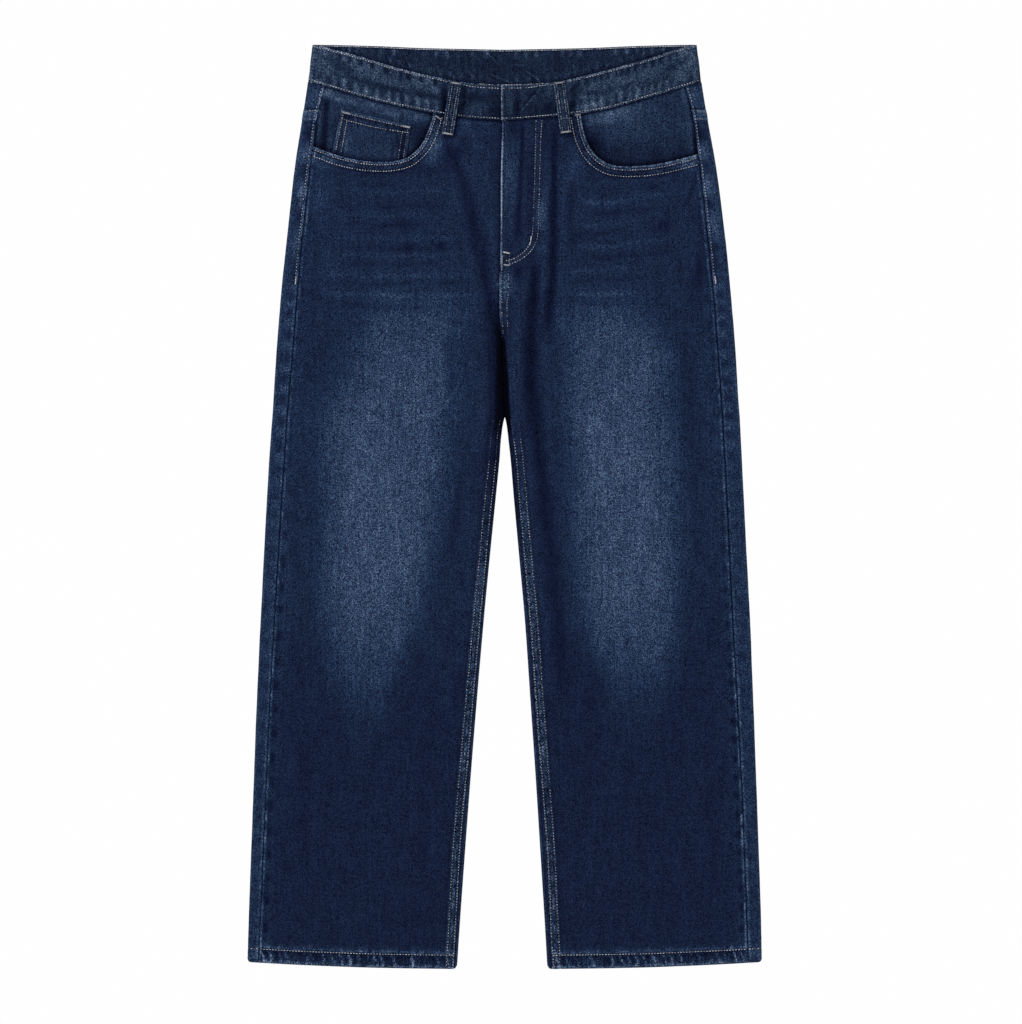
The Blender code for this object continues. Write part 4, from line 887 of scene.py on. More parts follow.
def shell(name, P, base, wall, up, tone, cut, mat, k=4, ref=None, **kw):
    """A closed thin shell: the fine outer grid P, a plain inner one behind the bare form
    at every k-th point, and a rim between them. Its outer side looks up (1) or down (-1)
    at the reference point."""
    ny, nx = P.shape[:2]
    ref = ref or (ny // 2, nx // 2)
    n = normals(base, 1.0)
    if n[ref][2] * up < 0:
        n = -n
    iy = np.unique(np.concatenate([np.arange(0, ny, k), [ny - 1]]))
    ix = np.unique(np.concatenate([np.arange(0, nx, k), [nx - 1]]))
    w = np.broadcast_to(np.asarray(wall, float), (ny, nx))
    inner_p = (base - n * w[..., None])[np.ix_(iy, ix)]
    idx = np.arange(ny * nx).reshape(ny, nx)
    jdx = ny * nx + np.arange(len(iy) * len(ix)).reshape(len(iy), len(ix))
    quad = np.stack([idx[:-1, :-1], idx[:-1, 1:], idx[1:, 1:], idx[1:, :-1]], -1).reshape(-1, 4)
    quad_in = np.stack([jdx[:-1, :-1], jdx[1:, :-1], jdx[1:, 1:], jdx[:-1, 1:]], -1).reshape(-1, 4)
    rims = {}

    def rim(outer_line, inner_line, at):
        for s in range(len(at) - 1):
            poly = list(outer_line[at[s]:at[s + 1] + 1][::-1]) + [inner_line[s], inner_line[s + 1]]
            rims.setdefault(len(poly), []).append(poly)

    rim(idx[0], jdx[0], ix)
    rim(idx[-1][::-1], jdx[-1][::-1], (nx - 1 - ix)[::-1])
    rim(idx[:, -1], jdx[:, -1], iy)
    rim(idx[:, 0][::-1], jdx[:, 0][::-1], (ny - 1 - iy)[::-1])
    faces = [quad, quad_in] + [np.array(v) for v in rims.values()]
    # Turned so that the outer faces look along the normals.
    i, j = ref
    test = np.cross(base[i, j + 1] - base[i, j], base[i + 1, j] - base[i, j])
    if test @ n[i, j] < 0:
        faces = [f[:, ::-1] for f in faces]
    verts = np.concatenate([P.reshape(-1, 3), inner_p.reshape(-1, 3)])
    t = np.concatenate([tone.ravel(), tone[np.ix_(iy, ix)].ravel() * 0.6])
    c = np.concatenate([cut.reshape(-1, 2), cut[np.ix_(iy, ix)].reshape(-1, 2)])
    return new_object(name, verts, faces, t, c, mat, **kw)


def spaced(parts):
    """Row positions: parts are (end, step) runs from the first start."""
    start = parts[0]
    out = [np.array([start])]
    for end, step in parts[1:]:
        n = max(1, int(round(abs(end - start) / step)))
        out.append(np.linspace(start, end, n + 1)[1:])
        start = end
    return np.concatenate(out)


# ------------------------------------------------------------------ thread

class Thread:
    """Collects stitches, each a short bent capsule, as one mesh."""
    SIDES = 5
    RINGS = ((-0.5, 0.25, -0.55), (-0.36, 0.9, -0.05), (0.0, 1.0, 0.28), (0.36, 0.9, -0.05), (0.5, 0.25, -0.55))

    def __init__(self):
        self.at, self.dir, self.up, self.len, self.rad, self.tone = [], [], [], [], [], []

    def add(self, at, direction, up, length, radius, tone):
        self.at.append(at)
        self.dir.append(direction)
        self.up.append(up)
        self.len.append(length)
        self.rad.append(radius)
        self.tone.append(tone)

    def row(self, points, ups, pitch=3.1, fill=0.62, radius=0.34, tone=0.5, spread=0.24, seed=1, sink=0.0, holes=None):
        """A row of stitches along the 3D points with the surface's normals, and dark
        spots of painted shade in the needle holes between them."""
        points, ups = np.asarray(points, float), np.asarray(ups, float)
        line = np.concatenate([points, ups], 1)
        run = np.concatenate([[0], np.cumsum(np.linalg.norm(np.diff(points, axis=0), axis=1))])
        n = max(1, int(round(run[-1] / pitch)))
        r = np.random.default_rng(seed)
        for k in range(n):
            c = (k + 0.5) / n * run[-1] + r.normal() * 0.06
            half = 0.5 * pitch * fill * (1 + 0.07 * r.normal())
            s = [np.array([np.interp(v, run, line[:, j]) for j in range(6)]) for v in (c - half, c, c + half)]
            up = s[1][3:] / np.linalg.norm(s[1][3:])
            d = s[2][:3] - s[0][:3]
            side = np.cross(d, up)
            side /= max(np.linalg.norm(side), 1e-9)
            d = d + side * r.normal() * 0.10
            centre = s[1][:3] + up * (0.10 - sink) + side * r.normal() * 0.05
            self.add(centre, d, up, 2 * half, radius * (1 + 0.08 * r.normal()), tone + spread * r.normal())
            if holes is not None and k < n - 1:
                h = np.array([np.interp((k + 1.0) / n * run[-1], run, line[:, j]) for j in range(6)])
                hole_up = h[3:] / np.linalg.norm(h[3:])
                holes.add(h[:3] + hole_up * 0.05, d, hole_up, pitch * (1 - fill) * 1.15, radius * 1.0, 0.1)

    def tack(self, a, b, up, width=1.7, pitch=0.95, radius=0.30, tone=0.62, seed=1, pits=None):
        """A bartack from a to b: close threads across its length, and dark spots of
        painted shade in the needle's pits on both its sides."""
        a, b, up = (np.asarray(v, float) for v in (a, b, up))
        d = b - a
        length = np.linalg.norm(d)
        d = d / length
        side = np.cross(d, up)
        side /= np.linalg.norm(side)
        r = np.random.default_rng(seed)
        n = max(3, int(round(length / pitch)))
        for k in range(n):
            c = a + d * (k + 0.5) * length / n + up * 0.30
            slant = side + d * (0.35 if k % 2 else -0.35)
            self.add(c + side * r.normal() * 0.05, slant, up, width * (1 + 0.08 * r.normal()), radius,
                     tone + 0.12 * r.normal())
            if pits is not None:
                edge = (0.5 * width + 0.42) * (1 if k % 2 else -1)
                pits.add(c - up * 0.22 + side * edge, d, up, 1.6 * pitch, 0.42, 0.1)
        for s in (-0.25, 0.25):
            self.add(0.5 * (a + b) + side * s * width + up * 0.12, d, up, length, radius * 0.9, tone - 0.05)

    def build(self, name, mat):
        at, d, up = (np.array(v) for v in (self.at, self.dir, self.up))
        length, rad, tone = (np.array(v)[:, None] for v in (self.len, self.rad, self.tone))
        d = d / np.linalg.norm(d, axis=1)[:, None]
        side = np.cross(d, up)
        side /= np.maximum(np.linalg.norm(side, axis=1), 1e-9)[:, None]
        up = np.cross(side, d)
        rings = []
        for f, size, lift in self.RINGS:
            c = at + d * length * f + up * rad * lift * 1.5
            for k in range(self.SIDES):
                t = 2 * math.pi * (k + 0.5) / self.SIDES
                rings.append(c + side * rad * size * math.cos(t) + up * rad * size * 0.85 * math.sin(t))
        n, m = len(at), len(self.RINGS) * self.SIDES
        verts = np.stack(rings, 1).reshape(-1, 3)
        base = (np.arange(n) * m)[:, None]
        quads, caps = [], []
        s = self.SIDES
        for r in range(len(self.RINGS) - 1):
            for k in range(s):
                q = [r * s + k, r * s + (k + 1) % s, (r + 1) * s + (k + 1) % s, (r + 1) * s + k]
                quads.append(base + np.array(q)[None])
        last = (len(self.RINGS) - 1) * s
        caps.append(base + np.array([k for k in range(s)][::-1])[None])
        caps.append(base + np.array([last + k for k in range(s)])[None])
        t = np.repeat(tone, m, 1).ravel()
        cut = verts[:, :2]
        obj = new_object(name, verts, [np.concatenate(quads), np.concatenate(caps)], t, cut, mat)
        return obj


def ups_from(fn, side, line):
    """Surface points and normals of a top surface z = fn(x, y) along a plan line."""
    e = 0.4
    x, y = line[:, 0], line[:, 1]
    p = fn(side, x, y)
    px = (fn(side, x + e, y) - fn(side, x - e, y))
    py = (fn(side, x, y + e) - fn(side, x, y - e))
    n = np.cross(px, py)
    n /= np.linalg.norm(n, axis=1)[:, None]
    n[n[:, 2] < 0] *= -1
    return p, n


# ------------------------------------------------------------------ materials

def nodes_of(name):
    mat = bpy.data.materials.new(name)
    mat.use_nodes = True
    tree = mat.node_tree
    shader = tree.nodes["Principled BSDF"]
    return mat, tree, shader


def node(tree, kind, inputs=(), **props):
    n = tree.nodes.new(kind)
    for key, value in props.items():
        setattr(n, key, value)
    for key, value in dict(inputs).items():
        if isinstance(value, bpy.types.NodeSocket):
            tree.links.new(value, n.inputs[key])
        else:
            n.inputs[key].default_value = value
    return n


def maths(tree, op, a, b=0.0, c=None, clamp=False):
    n = tree.nodes.new("ShaderNodeMath")
    n.operation, n.use_clamp = op, clamp
    for k, v in enumerate((a, b) if c is None else (a, b, c)):
        if isinstance(v, bpy.types.NodeSocket):
            tree.links.new(v, n.inputs[k])
        else:
            n.inputs[k].default_value = v
    return n.outputs[0]


def stretched(tree, vec, scale):
    n = node(tree, "ShaderNodeMapping", {"Vector": vec})
    n.inputs["Scale"].default_value = scale
    return n.outputs["Vector"]


RAMP = (
    (0.00, (0.0004, 0.0004, 0.0018)),
    (0.12, (0.0026, 0.0053, 0.0215)),
    (0.22, (0.0052, 0.0100, 0.0345)),
    (0.32, (0.0091, 0.0162, 0.0450)),
    (0.45, (0.0147, 0.0288, 0.0690)),
    (0.60, (0.0240, 0.0512, 0.1140)),
    (0.75, (0.0520, 0.0960, 0.1810)),
    (0.90, (0.1370, 0.2010, 0.3150)),
    (1.00, (0.2800, 0.3520, 0.4850)),
)
RAMP_WAIST = (
    (0.00, (0.0004, 0.0004, 0.0016)),
    (0.12, (0.0028, 0.0054, 0.0172)),
    (0.22, (0.0054, 0.0102, 0.0294)),
    (0.32, (0.0088, 0.0166, 0.0412)),
    (0.45, (0.0152, 0.0295, 0.0635)),
    (0.60, (0.0280, 0.0523, 0.1000)),
    (0.75, (0.0630, 0.0990, 0.1650)),
    (0.90, (0.1580, 0.2060, 0.3000)),
    (1.00, (0.3100, 0.3600, 0.4700)),
)


def denim(name, fleck=0.70, streak=0.05, shift=0.0, bump=0.10, colours=RAMP, low=0.22, full=0.42, least=0.42,
          cells=(2000.0, 1500.0)):
    """Indigo twill: the tone attribute sets how washed it is and carries the painted shade
    and shadows, and the weave adds light weft flecks, slubs down the warp and faint bars along the weft."""
    mat, tree, shader = nodes_of(name)
    tone = node(tree, "ShaderNodeAttribute", attribute_name="tone").outputs["Fac"]
    cut = node(tree, "ShaderNodeAttribute", attribute_name="cut").outputs["Vector"]

    cell = node(tree, "ShaderNodeTexVoronoi", {"Vector": stretched(tree, cut, (*cells, 1.0)), "Scale": 1.0,
                                               "Randomness": 1.0}, voronoi_dimensions="2D")
    grain = node(tree, "ShaderNodeSeparateColor", {"Color": cell.outputs["Color"]}).outputs["Red"]
    mott = node(tree, "ShaderNodeTexNoise", {"Vector": stretched(tree, cut, (520.0, 330.0, 1.0)), "Scale": 1.0,
                                             "Detail": 3.0, "Roughness": 0.65}, noise_dimensions="2D").outputs["Fac"]
    slub = node(tree, "ShaderNodeTexNoise", {"Vector": stretched(tree, cut, (760.0, 34.0, 1.0)), "Scale": 1.0,
                                             "Detail": 2.0, "Roughness": 0.6}, noise_dimensions="2D").outputs["Fac"]
    bars = node(tree, "ShaderNodeTexNoise", {"Vector": stretched(tree, cut, (26.0, 700.0, 1.0)), "Scale": 1.0,
                                             "Detail": 2.0, "Roughness": 0.6}, noise_dimensions="2D").outputs["Fac"]
    cloud = node(tree, "ShaderNodeTexNoise", {"Vector": stretched(tree, cut, (70.0, 50.0, 1.0)), "Scale": 1.0,
                                              "Detail": 3.0, "Roughness": 0.55}, noise_dimensions="2D").outputs["Fac"]

    def centred(socket, amount):
        return maths(tree, "MULTIPLY_ADD", socket, amount, -0.5 * amount)

    vein = node(tree, "ShaderNodeTexNoise", {"Vector": stretched(tree, cut, (260.0, 17.0, 1.0)), "Scale": 1.0,
                                             "Detail": 2.0, "Roughness": 0.6}, noise_dimensions="2D").outputs["Fac"]
    total = maths(tree, "ADD", centred(grain, fleck), centred(mott, 0.09))
    total = maths(tree, "ADD", total, centred(vein, 0.18))
    total = maths(tree, "ADD", total, centred(slub, streak * 4.0))
    total = maths(tree, "ADD", total, centred(bars, streak * 2.2))
    # Darker cloth has weaker flecks.
    reach = node(tree, "ShaderNodeMapRange", {"Value": tone, "From Min": low, "From Max": full, "To Min": least, "To Max": 1.0})
    nap = node(tree, "ShaderNodeAttribute", attribute_name="nap").outputs["Fac"]
    scale = maths(tree, "ADD", reach.outputs["Result"], nap)
    total = maths(tree, "MULTIPLY", total, scale)
    total = maths(tree, "ADD", total, centred(cloud, 0.10))
    level = maths(tree, "MULTIPLY_ADD", tone, 0.93, shift - 0.015)
    total = maths(tree, "ADD", total, level, clamp=True)

    ramp = node(tree, "ShaderNodeValToRGB", {"Fac": total})
    els = ramp.color_ramp.elements
    while len(els) < len(colours):
        els.new(0.5)
    for el, (pos, col) in zip(els, colours):
        el.position = pos
        el.color = (*col, 1.0)
    tree.links.new(ramp.outputs["Color"], shader.inputs["Base Color"])

    # Twill: fine diagonal ribs, broken by the yarn's unevenness.
    spin = node(tree, "ShaderNodeMapping", {"Vector": cut})
    spin.inputs["Rotation"].default_value = (0.0, 0.0, math.radians(-63.0))
    rib = node(tree, "ShaderNodeTexWave", {"Vector": spin.outputs["Vector"], "Scale": 165.0, "Distortion": 1.6,
                                           "Detail": 1.0, "Detail Scale": 2.0}, wave_type="BANDS",
               bands_direction="X").outputs["Fac"]
    height = maths(tree, "MULTIPLY_ADD", rib, 0.45, maths(tree, "MULTIPLY", mott, 0.9))
    height = maths(tree, "ADD", height, maths(tree, "MULTIPLY", grain, 0.35))
    bumped = node(tree, "ShaderNodeBump", {"Height": height, "Strength": 0.55, "Distance": bump * MM * 2.0})
    tree.links.new(bumped.outputs["Normal"], shader.inputs["Normal"])
    rough = maths(tree, "MULTIPLY_ADD", grain, 0.14, 0.80)
    tree.links.new(rough, shader.inputs["Roughness"])
    shader.inputs["Specular IOR Level"].default_value = 0.03
    return mat


def thread_material(name, dark, light):
    mat, tree, shader = nodes_of(name)
    tone = node(tree, "ShaderNodeAttribute", attribute_name="tone").outputs["Fac"]
    cut = node(tree, "ShaderNodeAttribute", attribute_name="cut").outputs["Vector"]
    ply = node(tree, "ShaderNodeTexNoise", {"Vector": stretched(tree, cut, (1500.0, 1500.0, 1.0)), "Scale": 1.0,
                                            "Detail": 2.0}, noise_dimensions="2D").outputs["Fac"]
    t = maths(tree, "ADD", tone, maths(tree, "MULTIPLY_ADD", ply, 0.5, -0.25), clamp=True)
    ramp = node(tree, "ShaderNodeValToRGB", {"Fac": t})
    els = ramp.color_ramp.elements
    els[0].position, els[0].color = 0.0, (*dark, 1.0)
    els[1].position, els[1].color = 1.0, (*light, 1.0)
    tree.links.new(ramp.outputs["Color"], shader.inputs["Base Color"])
    bumped = node(tree, "ShaderNodeBump", {"Height": ply, "Strength": 0.5, "Distance": 0.0002})
    tree.links.new(bumped.outputs["Normal"], shader.inputs["Normal"])
    rough = maths(tree, "MULTIPLY_ADD", ply, 0.2, 0.55)
    tree.links.new(rough, shader.inputs["Roughness"])
    shader.inputs["Specular IOR Level"].default_value = 0.15
    return mat


DENIM = denim("denim_body", fleck=0.85, cells=(2100.0, 1700.0))
RAMP_FACING = tuple((place, tuple(0.55 * u + 0.45 * v for u, v in zip(one, two)))
                    for (place, one), (_, two) in zip(RAMP, RAMP_WAIST))
DENIM_BAND = denim("denim_band", fleck=0.84, streak=0.05, colours=RAMP_WAIST, low=0.16, full=0.42, least=0.36, cells=(1500.0, 2200.0))
DENIM_TRIM = denim("denim_trim", fleck=0.90, streak=0.06, colours=RAMP_WAIST, low=0.14, full=0.40, least=0.50, cells=(1500.0, 2000.0))
DENIM_FACING = denim("denim_facing", fleck=0.80, streak=0.05, colours=RAMP_FACING, low=0.14, full=0.42, least=0.44, cells=(1800.0, 2200.0))
THREAD_TAN = thread_material("thread_tan", (0.026, 0.033, 0.054), (0.69, 0.70, 0.75))
THREAD_GREY = thread_material("thread_grey", (0.020, 0.027, 0.046), (0.55, 0.57, 0.65))
NEEDLE_HOLE_SHADE = thread_material("needle_hole_shade", (0.0012, 0.0018, 0.0040), (0.010, 0.014, 0.028))
THREAD_DARK = thread_material("thread_dark", (0.005, 0.007, 0.014), (0.10, 0.11, 0.15))


# ------------------------------------------------------------------ build: fronts

def make_front(side, tag):
    edge_cols = spaced([0.0, (1.2, 0.4), (12.0, 0.9), (24.0, 1.5)]) / 250.0
    inner_cols = 1 - (spaced([0.0, (1.6, 0.4), (13.0, 0.85), (44.0 if side > 0 else 22.0, 1.25)]) / 250.0)[::-1]
    mid = np.linspace(edge_cols[-1], inner_cols[0], int((inner_cols[0] - edge_cols[-1]) * 250 / 2.5) + 1)[1:-1]
    f = np.concatenate([edge_cols, mid, inner_cols])
    lower = spaced([-508.0, (-506.0, 0.5), (-489.0, 0.85), (-470.0, 1.9), (180.0, 2.6), (192.0, 1.0),
                    (SPLIT_Y, 2.3)])
    t_up = np.concatenate([np.linspace(0, 0.84, 42)[1:], np.linspace(0.84, 1.0, 25)[1:]])
    top = POCKET_LINE[side]
    last_y = float(BAND_LOW(side * float(front_end(side, 425.0)))) - GAP
    last = float(front_end(side, last_y))
    band_a = np.linspace(abs(top[-1, 0]), last, 40)[1:]
    band = np.stack([side * band_a, BAND_LOW(side * band_a) - GAP], 1)
    f_split = 0.63
    head = resample(top, count=200)
    tail = np.concatenate([top[-1:], band])
    run_h, run_t = np.linspace(0, 1, 201), np.linspace(0, 1, len(tail))
    top_x = np.where(f < f_split, np.interp(f / f_split, run_h, head[:, 0]),
                     np.interp((f - f_split) / (1 - f_split), run_t, tail[:, 0]))
    top_y = np.where(f < f_split, np.interp(f / f_split, run_h, head[:, 1]),
                     np.interp((f - f_split) / (1 - f_split), run_t, tail[:, 1]))

    def level(y):
        return side * (front_edge(side, y) + (front_end(side, y) - front_edge(side, y)) * f)

    X, Y = [], []
    for y in lower:
        X.append(level(y))
        Y.append(np.full(len(f), y))
    x0 = level(SPLIT_Y)
    for t in t_up:
        ya, yb = SPLIT_Y + (top_y[0] - SPLIT_Y) * t, SPLIT_Y + (top_y[-1] - SPLIT_Y) * t
        ea = side * float(front_edge(side, ya)) - (x0[0] * (1 - t) + top_x[0] * t)
        eb = side * float(front_end(side, yb)) - (x0[-1] * (1 - t) + top_x[-1] * t)
        X.append(x0 * (1 - t) + top_x * t + ea * (1 - f) + eb * f)
        Y.append(SPLIT_Y * (1 - t) + top_y * t)
    X, Y = np.array(X), np.array(Y)
    z, tone = front_detail(side, X, Y)
    up = Y + hem_shift(side, side * X, Y)
    base = np.stack([X, up, high(Y)], -1)
    P = base.copy()
    P[..., 2] += z
    wall = np.where(Y < -508.0 + HEM_DEEP, HEM_WALL, CLOTH)
    cut = np.stack([X, up], -1)
    obj = shell("front_" + tag, P, base, wall, 1.0, tone, cut, DENIM,
                slot="denim_front", replaces=["front_panel_" + tag])
    return obj


FRONT = {side: make_front(side, tag) for side, tag in ((-1, "l"), (1, "r"))}


def rubbed(side, x, y):
    """Where rubbing has raised the flecks: the felled inseam, the pocket hem and the turned-up hem."""
    a = side * x
    d_in = a - front_end(side, y)
    leg = smooth((60.0 - y) / 110.0)
    nap = 0.70 * leg * smooth((d_in + 0.5) / 1.0) * smooth((10.8 - d_in) / 1.5)
    d_hem = (y + 508.0) * (1.0 - HEM_RISE(a) / HEM_FADE)
    nap = np.maximum(nap, 0.30 * smooth((HEM_DEEP + 1.0 - d_hem) / 2.0))
    near = (y > 355.0) & (a > 62.0)
    dp = np.full(np.shape(nap), 99.0)
    if np.any(near):
        dp[near], _ = from_pocket(side, x[near], y[near])
    return np.maximum(nap, 0.42 * smooth((12.5 - dp) / 1.5) * smooth((dp + 1.0) / 1.5))


for side, obj in FRONT.items():
    co = np.zeros(len(obj.data.vertices) * 3, np.float32)
    obj.data.vertices.foreach_get("co", co)
    co = co.reshape(-1, 3).astype(float) / MM + CENTRE
    attr = obj.data.attributes.new("nap", "FLOAT", "POINT")
    attr.data.foreach_set("value", rubbed(side, co[:, 0], co[:, 1]).astype(np.float32))


# ------------------------------------------------------------------ build: backs, yokes

def back_piece(side, tag, yoke):
    nx = N_STRIP + N_FOLD + N_FLAT + N_INNER + 1
    if not yoke:
        lower = spaced([-508.0, (-506.0, 0.6), (-489.0, 1.0), (-470.0, 2.4), (185.0, 3.2), (187.0, 1.0),
                        (208.0, 1.5), (SPLIT_Y, 3.2)])
        _, a0, _, kind = back_grid(side, np.full(2, 425.0))
        reach = np.where(kind >= 1.0, a0[0], 217.0)
        reach[:N_STRIP + N_FOLD // 2] = 217.0
        line = YOKE_LINE(np.minimum(reach, 217.0)) - 0.5 * GAP
        t = np.concatenate([np.linspace(0, 0.86, 34)[1:], np.linspace(0.86, 1.0, 22)[1:]])[:, None]
        upper = SPLIT_Y + (line[None] - SPLIT_Y) * t
        rows = np.concatenate([np.repeat(lower[:, None], nx, 1), upper])
    else:
        _, a0, _, kind = back_grid(side, np.full(2, 425.0))
        reach = np.where(kind >= 1.0, a0[0], 217.0)
        reach[:N_STRIP + N_FOLD // 2] = 217.0
        line = YOKE_LINE(np.minimum(reach, 217.0)) + 0.5 * GAP
        _, a1, _, _ = back_grid(side, np.full(2, 463.0))
        under = np.clip((np.arange(nx) - N_STRIP) / N_FOLD, 0, 1)
        top = band_low(side, a1[0], under) - GAP * (1.6 + np.sin(math.pi * under))
        t = np.linspace(0, 1, 26)[:, None]
        rows = line[None] * (1 - t) + top[None] * t
    Y, A, Z, kind = back_grid(side, rows)
    K = np.broadcast_to(kind, Y.shape)
    zs, ts = strip_detail(side, A, Y, yoke)
    zu, tu = under_detail(side, A, Y, yoke)
    index = np.broadcast_to(np.arange(nx), Y.shape)
    turn = smooth((index - N_STRIP) / N_FOLD)
    tone = ts * (1 - turn) + tu * turn
    # Lighter along the outer fold, partly wear and partly painted highlight, with painted shade where the fold faces
    # sideways.
    fold = hump(index - N_STRIP, 0.26 * N_FOLD, 0.16 * N_FOLD) * (K < 2)
    tone = tone + 0.15 * fold * (0.6 + 0.6 * noise(Y / 9.0, 0.5, 401)) - 0.16 * hump(index - N_STRIP, 0.50 * N_FOLD, 2.6) * (K < 2)
    lift_top = zs * (1 - turn)
    lift_under = zu * turn
    inside = K == 3
    k_in = np.clip((index - (nx - 1 - N_INNER)) / N_INNER, 0, 1)
    legs = smooth((CROTCH_Y - Y) / 6.0)
    # The inner fold's tone, with a band of painted shade round its bend.
    tone = np.where(inside, tone * (1 - k_in) + (0.33 - 0.10 * hump(k_in, 0.6, 0.2)) * k_in, tone)
    lift_under = np.where(inside, lift_under * smooth(1 - 2.5 * k_in), lift_under)
    dip, dark = valley(side, A, Y)
    dip = np.where(inside, dip * smooth((k_in - 0.35) / 0.3) * legs, 0.0)
    # Painted black shadow of the hollow under the crotch, on the inner fold.
    lost = hollow(side * A, Y) * np.where(inside, 1.0, 0.0)
    tone = tone * (1.0 - lost) - 0.05 * lost
    flange = (k_in > (N_LOW + N_WALL + N_TOP) / N_INNER - 1e-6) & (Y < CROTCH_Y)
    d_f = (inner(side, Y) + fold_in(side, Y)) - A
    lift_top = np.where(flange, 0.20 * hump(d_f, 1.0, 0.8) - 0.4 * hump(d_f, 0.0, 0.5), lift_top)
    # Painted shade at the flange's felled edge.
    tone = np.where(flange, tone + 0.05 * hump(d_f, 0.8, 0.7) - 0.10 * hump(d_f, 0.1, 0.6), tone)
    # Shade on the fold itself, beside the felled edge.
    bright = smooth((20.0 - Y) / 120.0)
    tone = np.where(inside, tone + legs * (0.16 * bright * hump(k_in, 0.66, 0.10) - 0.10 * hump(k_in, 0.82, 0.10)
                                           - 0.12 * (1 - bright) * hump(k_in, 0.66, 0.16)) * (Y < CROTCH_Y), tone)
    shift = hem_shift(side, A, Y)
    base = np.stack([side * A, Y + shift, Z], -1)
    if yoke:
        base[..., 1] = Y
    sign = 1.0 if side < 0 else -1.0
    n = normals(base, sign)
    if n[2, N_STRIP // 2, 2] < 0:
        sign, n = -sign, -n
    P = base + n * (lift_top + lift_under)[..., None]
    P[..., 2] -= dip
    # The outer silhouette is never quite straight.
    wave = 0.22 * fractal(Y / 24.0, 0.3 * side, 411) * hump(index - N_STRIP, 0.5 * N_FOLD, 0.5 * N_FOLD)
    P = P + n * wave[..., None]
    P[..., 2] = np.maximum(P[..., 2], 0.0)
    run = np.concatenate([np.zeros((len(Y), 1)), np.cumsum(np.hypot(np.diff(A, axis=1), np.diff(Z, axis=1)), 1)], 1)
    cut = np.stack([side * (300.0 + run), base[..., 1]], -1)
    hemmed = (Y < -508.0 + HEM_DEEP) & (not yoke)
    wall = np.where(hemmed, HEM_WALL, CLOTH)
    crotch = (np.abs(Y - CROTCH_Y) < 2.5) & inside & (k_in > 0.5)
    wall = np.where(crotch, 0.5 * CLOTH, wall)
    name = ("yoke_piece_" if yoke else "back_") + tag
    return shell(name, P, base, wall, 1.0, tone, cut, DENIM, k=3, ref=(2, N_STRIP // 2), slot="denim_back",
                 replaces=[("yoke_" if yoke else "back_panel_") + tag])


BACK = {side: back_piece(side, tag, False) for side, tag in ((-1, "l"), (1, "r"))}
YOKE = {side: back_piece(side, tag, True) for side, tag in ((-1, "l"), (1, "r"))}


# ------------------------------------------------------------------ build: pocket facings

def facing_height(side, x, y):
    drop = (CLOTH + GAP) * (2.0 if side < 0 else 1.0)
    d, _ = signed(POCKET_LINE[side], x, y)
    above = smooth((-d * side - 0.5) / 9.0)
    a = side * x
    to_side = 1.0 - smooth((front_edge(side, y) - a) / 13.0)
    to_band = 1.0 - smooth((BAND_LOW(x) - GAP - y) / 9.0)
    return high(y) - drop * (1.0 - above * np.maximum(to_side, to_band)), -d * side


def facing_detail(side, x, y):
    base, above = facing_height(side, x, y)
    z = 0.22 * fractal(x / 24.0, y / 30.0, 501 + side)
    tone = (0.322 if side < 0 else 0.332) + 0.05 * fractal(x / 14.0, y / 12.0, 511)
    top = BAND_LOW(x) - GAP - y
    if side < 0:
        tone = tone + 0.27 * hump(top, 7.0, 5.5) * (0.75 + 0.5 * noise(x / 8.0, top / 5.0, 515)) * smooth((-72.0 - x) / 14.0)
        tone = tone + 0.10 * hump(top, 3.2, 1.6) * (0.6 + 0.8 * noise(x / 4.0, 1.0, 517))
        # Painted shade by the inner end of the pocket's edge.
        tone = tone - 0.10 * np.exp(-((x + 94.0) / 7.0) ** 2 - ((y - 404.0) / 20.0) ** 2)
        tone = tone + 0.08 * np.exp(-((x + 202.0) / 3.5) ** 2 - ((y - 425.0) / 22.0) ** 2)
    else:
        tone = tone + 0.21 * np.exp(-((x - 116.0) / 38.0) ** 2 - (np.maximum(top - 8.0, 0.0) / 9.5) ** 2) * smooth(top / 4.0)
        tone = tone + 0.05 * np.exp(-((x - 150.0) / 40.0) ** 2 - ((y - 418.0) / 18.0) ** 2)
        # Painted shade by the inner end of the pocket's edge.
        tone = tone - 0.13 * np.exp(-((x - 99.0) / 13.0) ** 2 - ((y - 396.0) / 17.0) ** 2)
        tone = tone - 0.04 * smooth((410.0 - y) / 30.0)
        streak = noise(x / 3.0, (y + 0.8 * x) / 26.0, 519)
        tone = tone + 0.05 * streak * np.exp(-((x - 125.0) / 50.0) ** 2)
    # Shaded just inside the pocket's edge, and in a soft crease by the outseam.
    tone = tone - 0.20 * np.exp(-(np.maximum(above, 0) / 4.2) ** 2) - 0.07 * np.exp(-np.maximum(above, 0) / 16.0)
    cx = -197.0 if side < 0 else 205.5
    slant = (y - 425.0) * (0.05 if side < 0 else -0.10)
    crease = np.exp(-((x - cx - slant) / (3.4 if side < 0 else 1.8)) ** 2) * smooth((y - 384.0) / 14.0) * smooth((456.0 - y) / 20.0)
    z = z - 0.55 * crease
    tone = tone - (0.20 if side < 0 else 0.13) * crease + 0.07 * hump(x - cx - slant, -side * 4.6, 2.6)
    # Painted shadow under the waistband's edge, and painted shade in the outseam's groove.
    tone = tone - 0.22 * np.exp(-(np.maximum(top, 0) / 1.8) ** 2)
    d_out = front_edge(side, y) - side * x
    tone = tone - 0.14 * np.exp(-(np.maximum(d_out, 0) / 1.4) ** 2) + 0.06 * hump(d_out, 3.6, 1.8)
    return base, z, tone


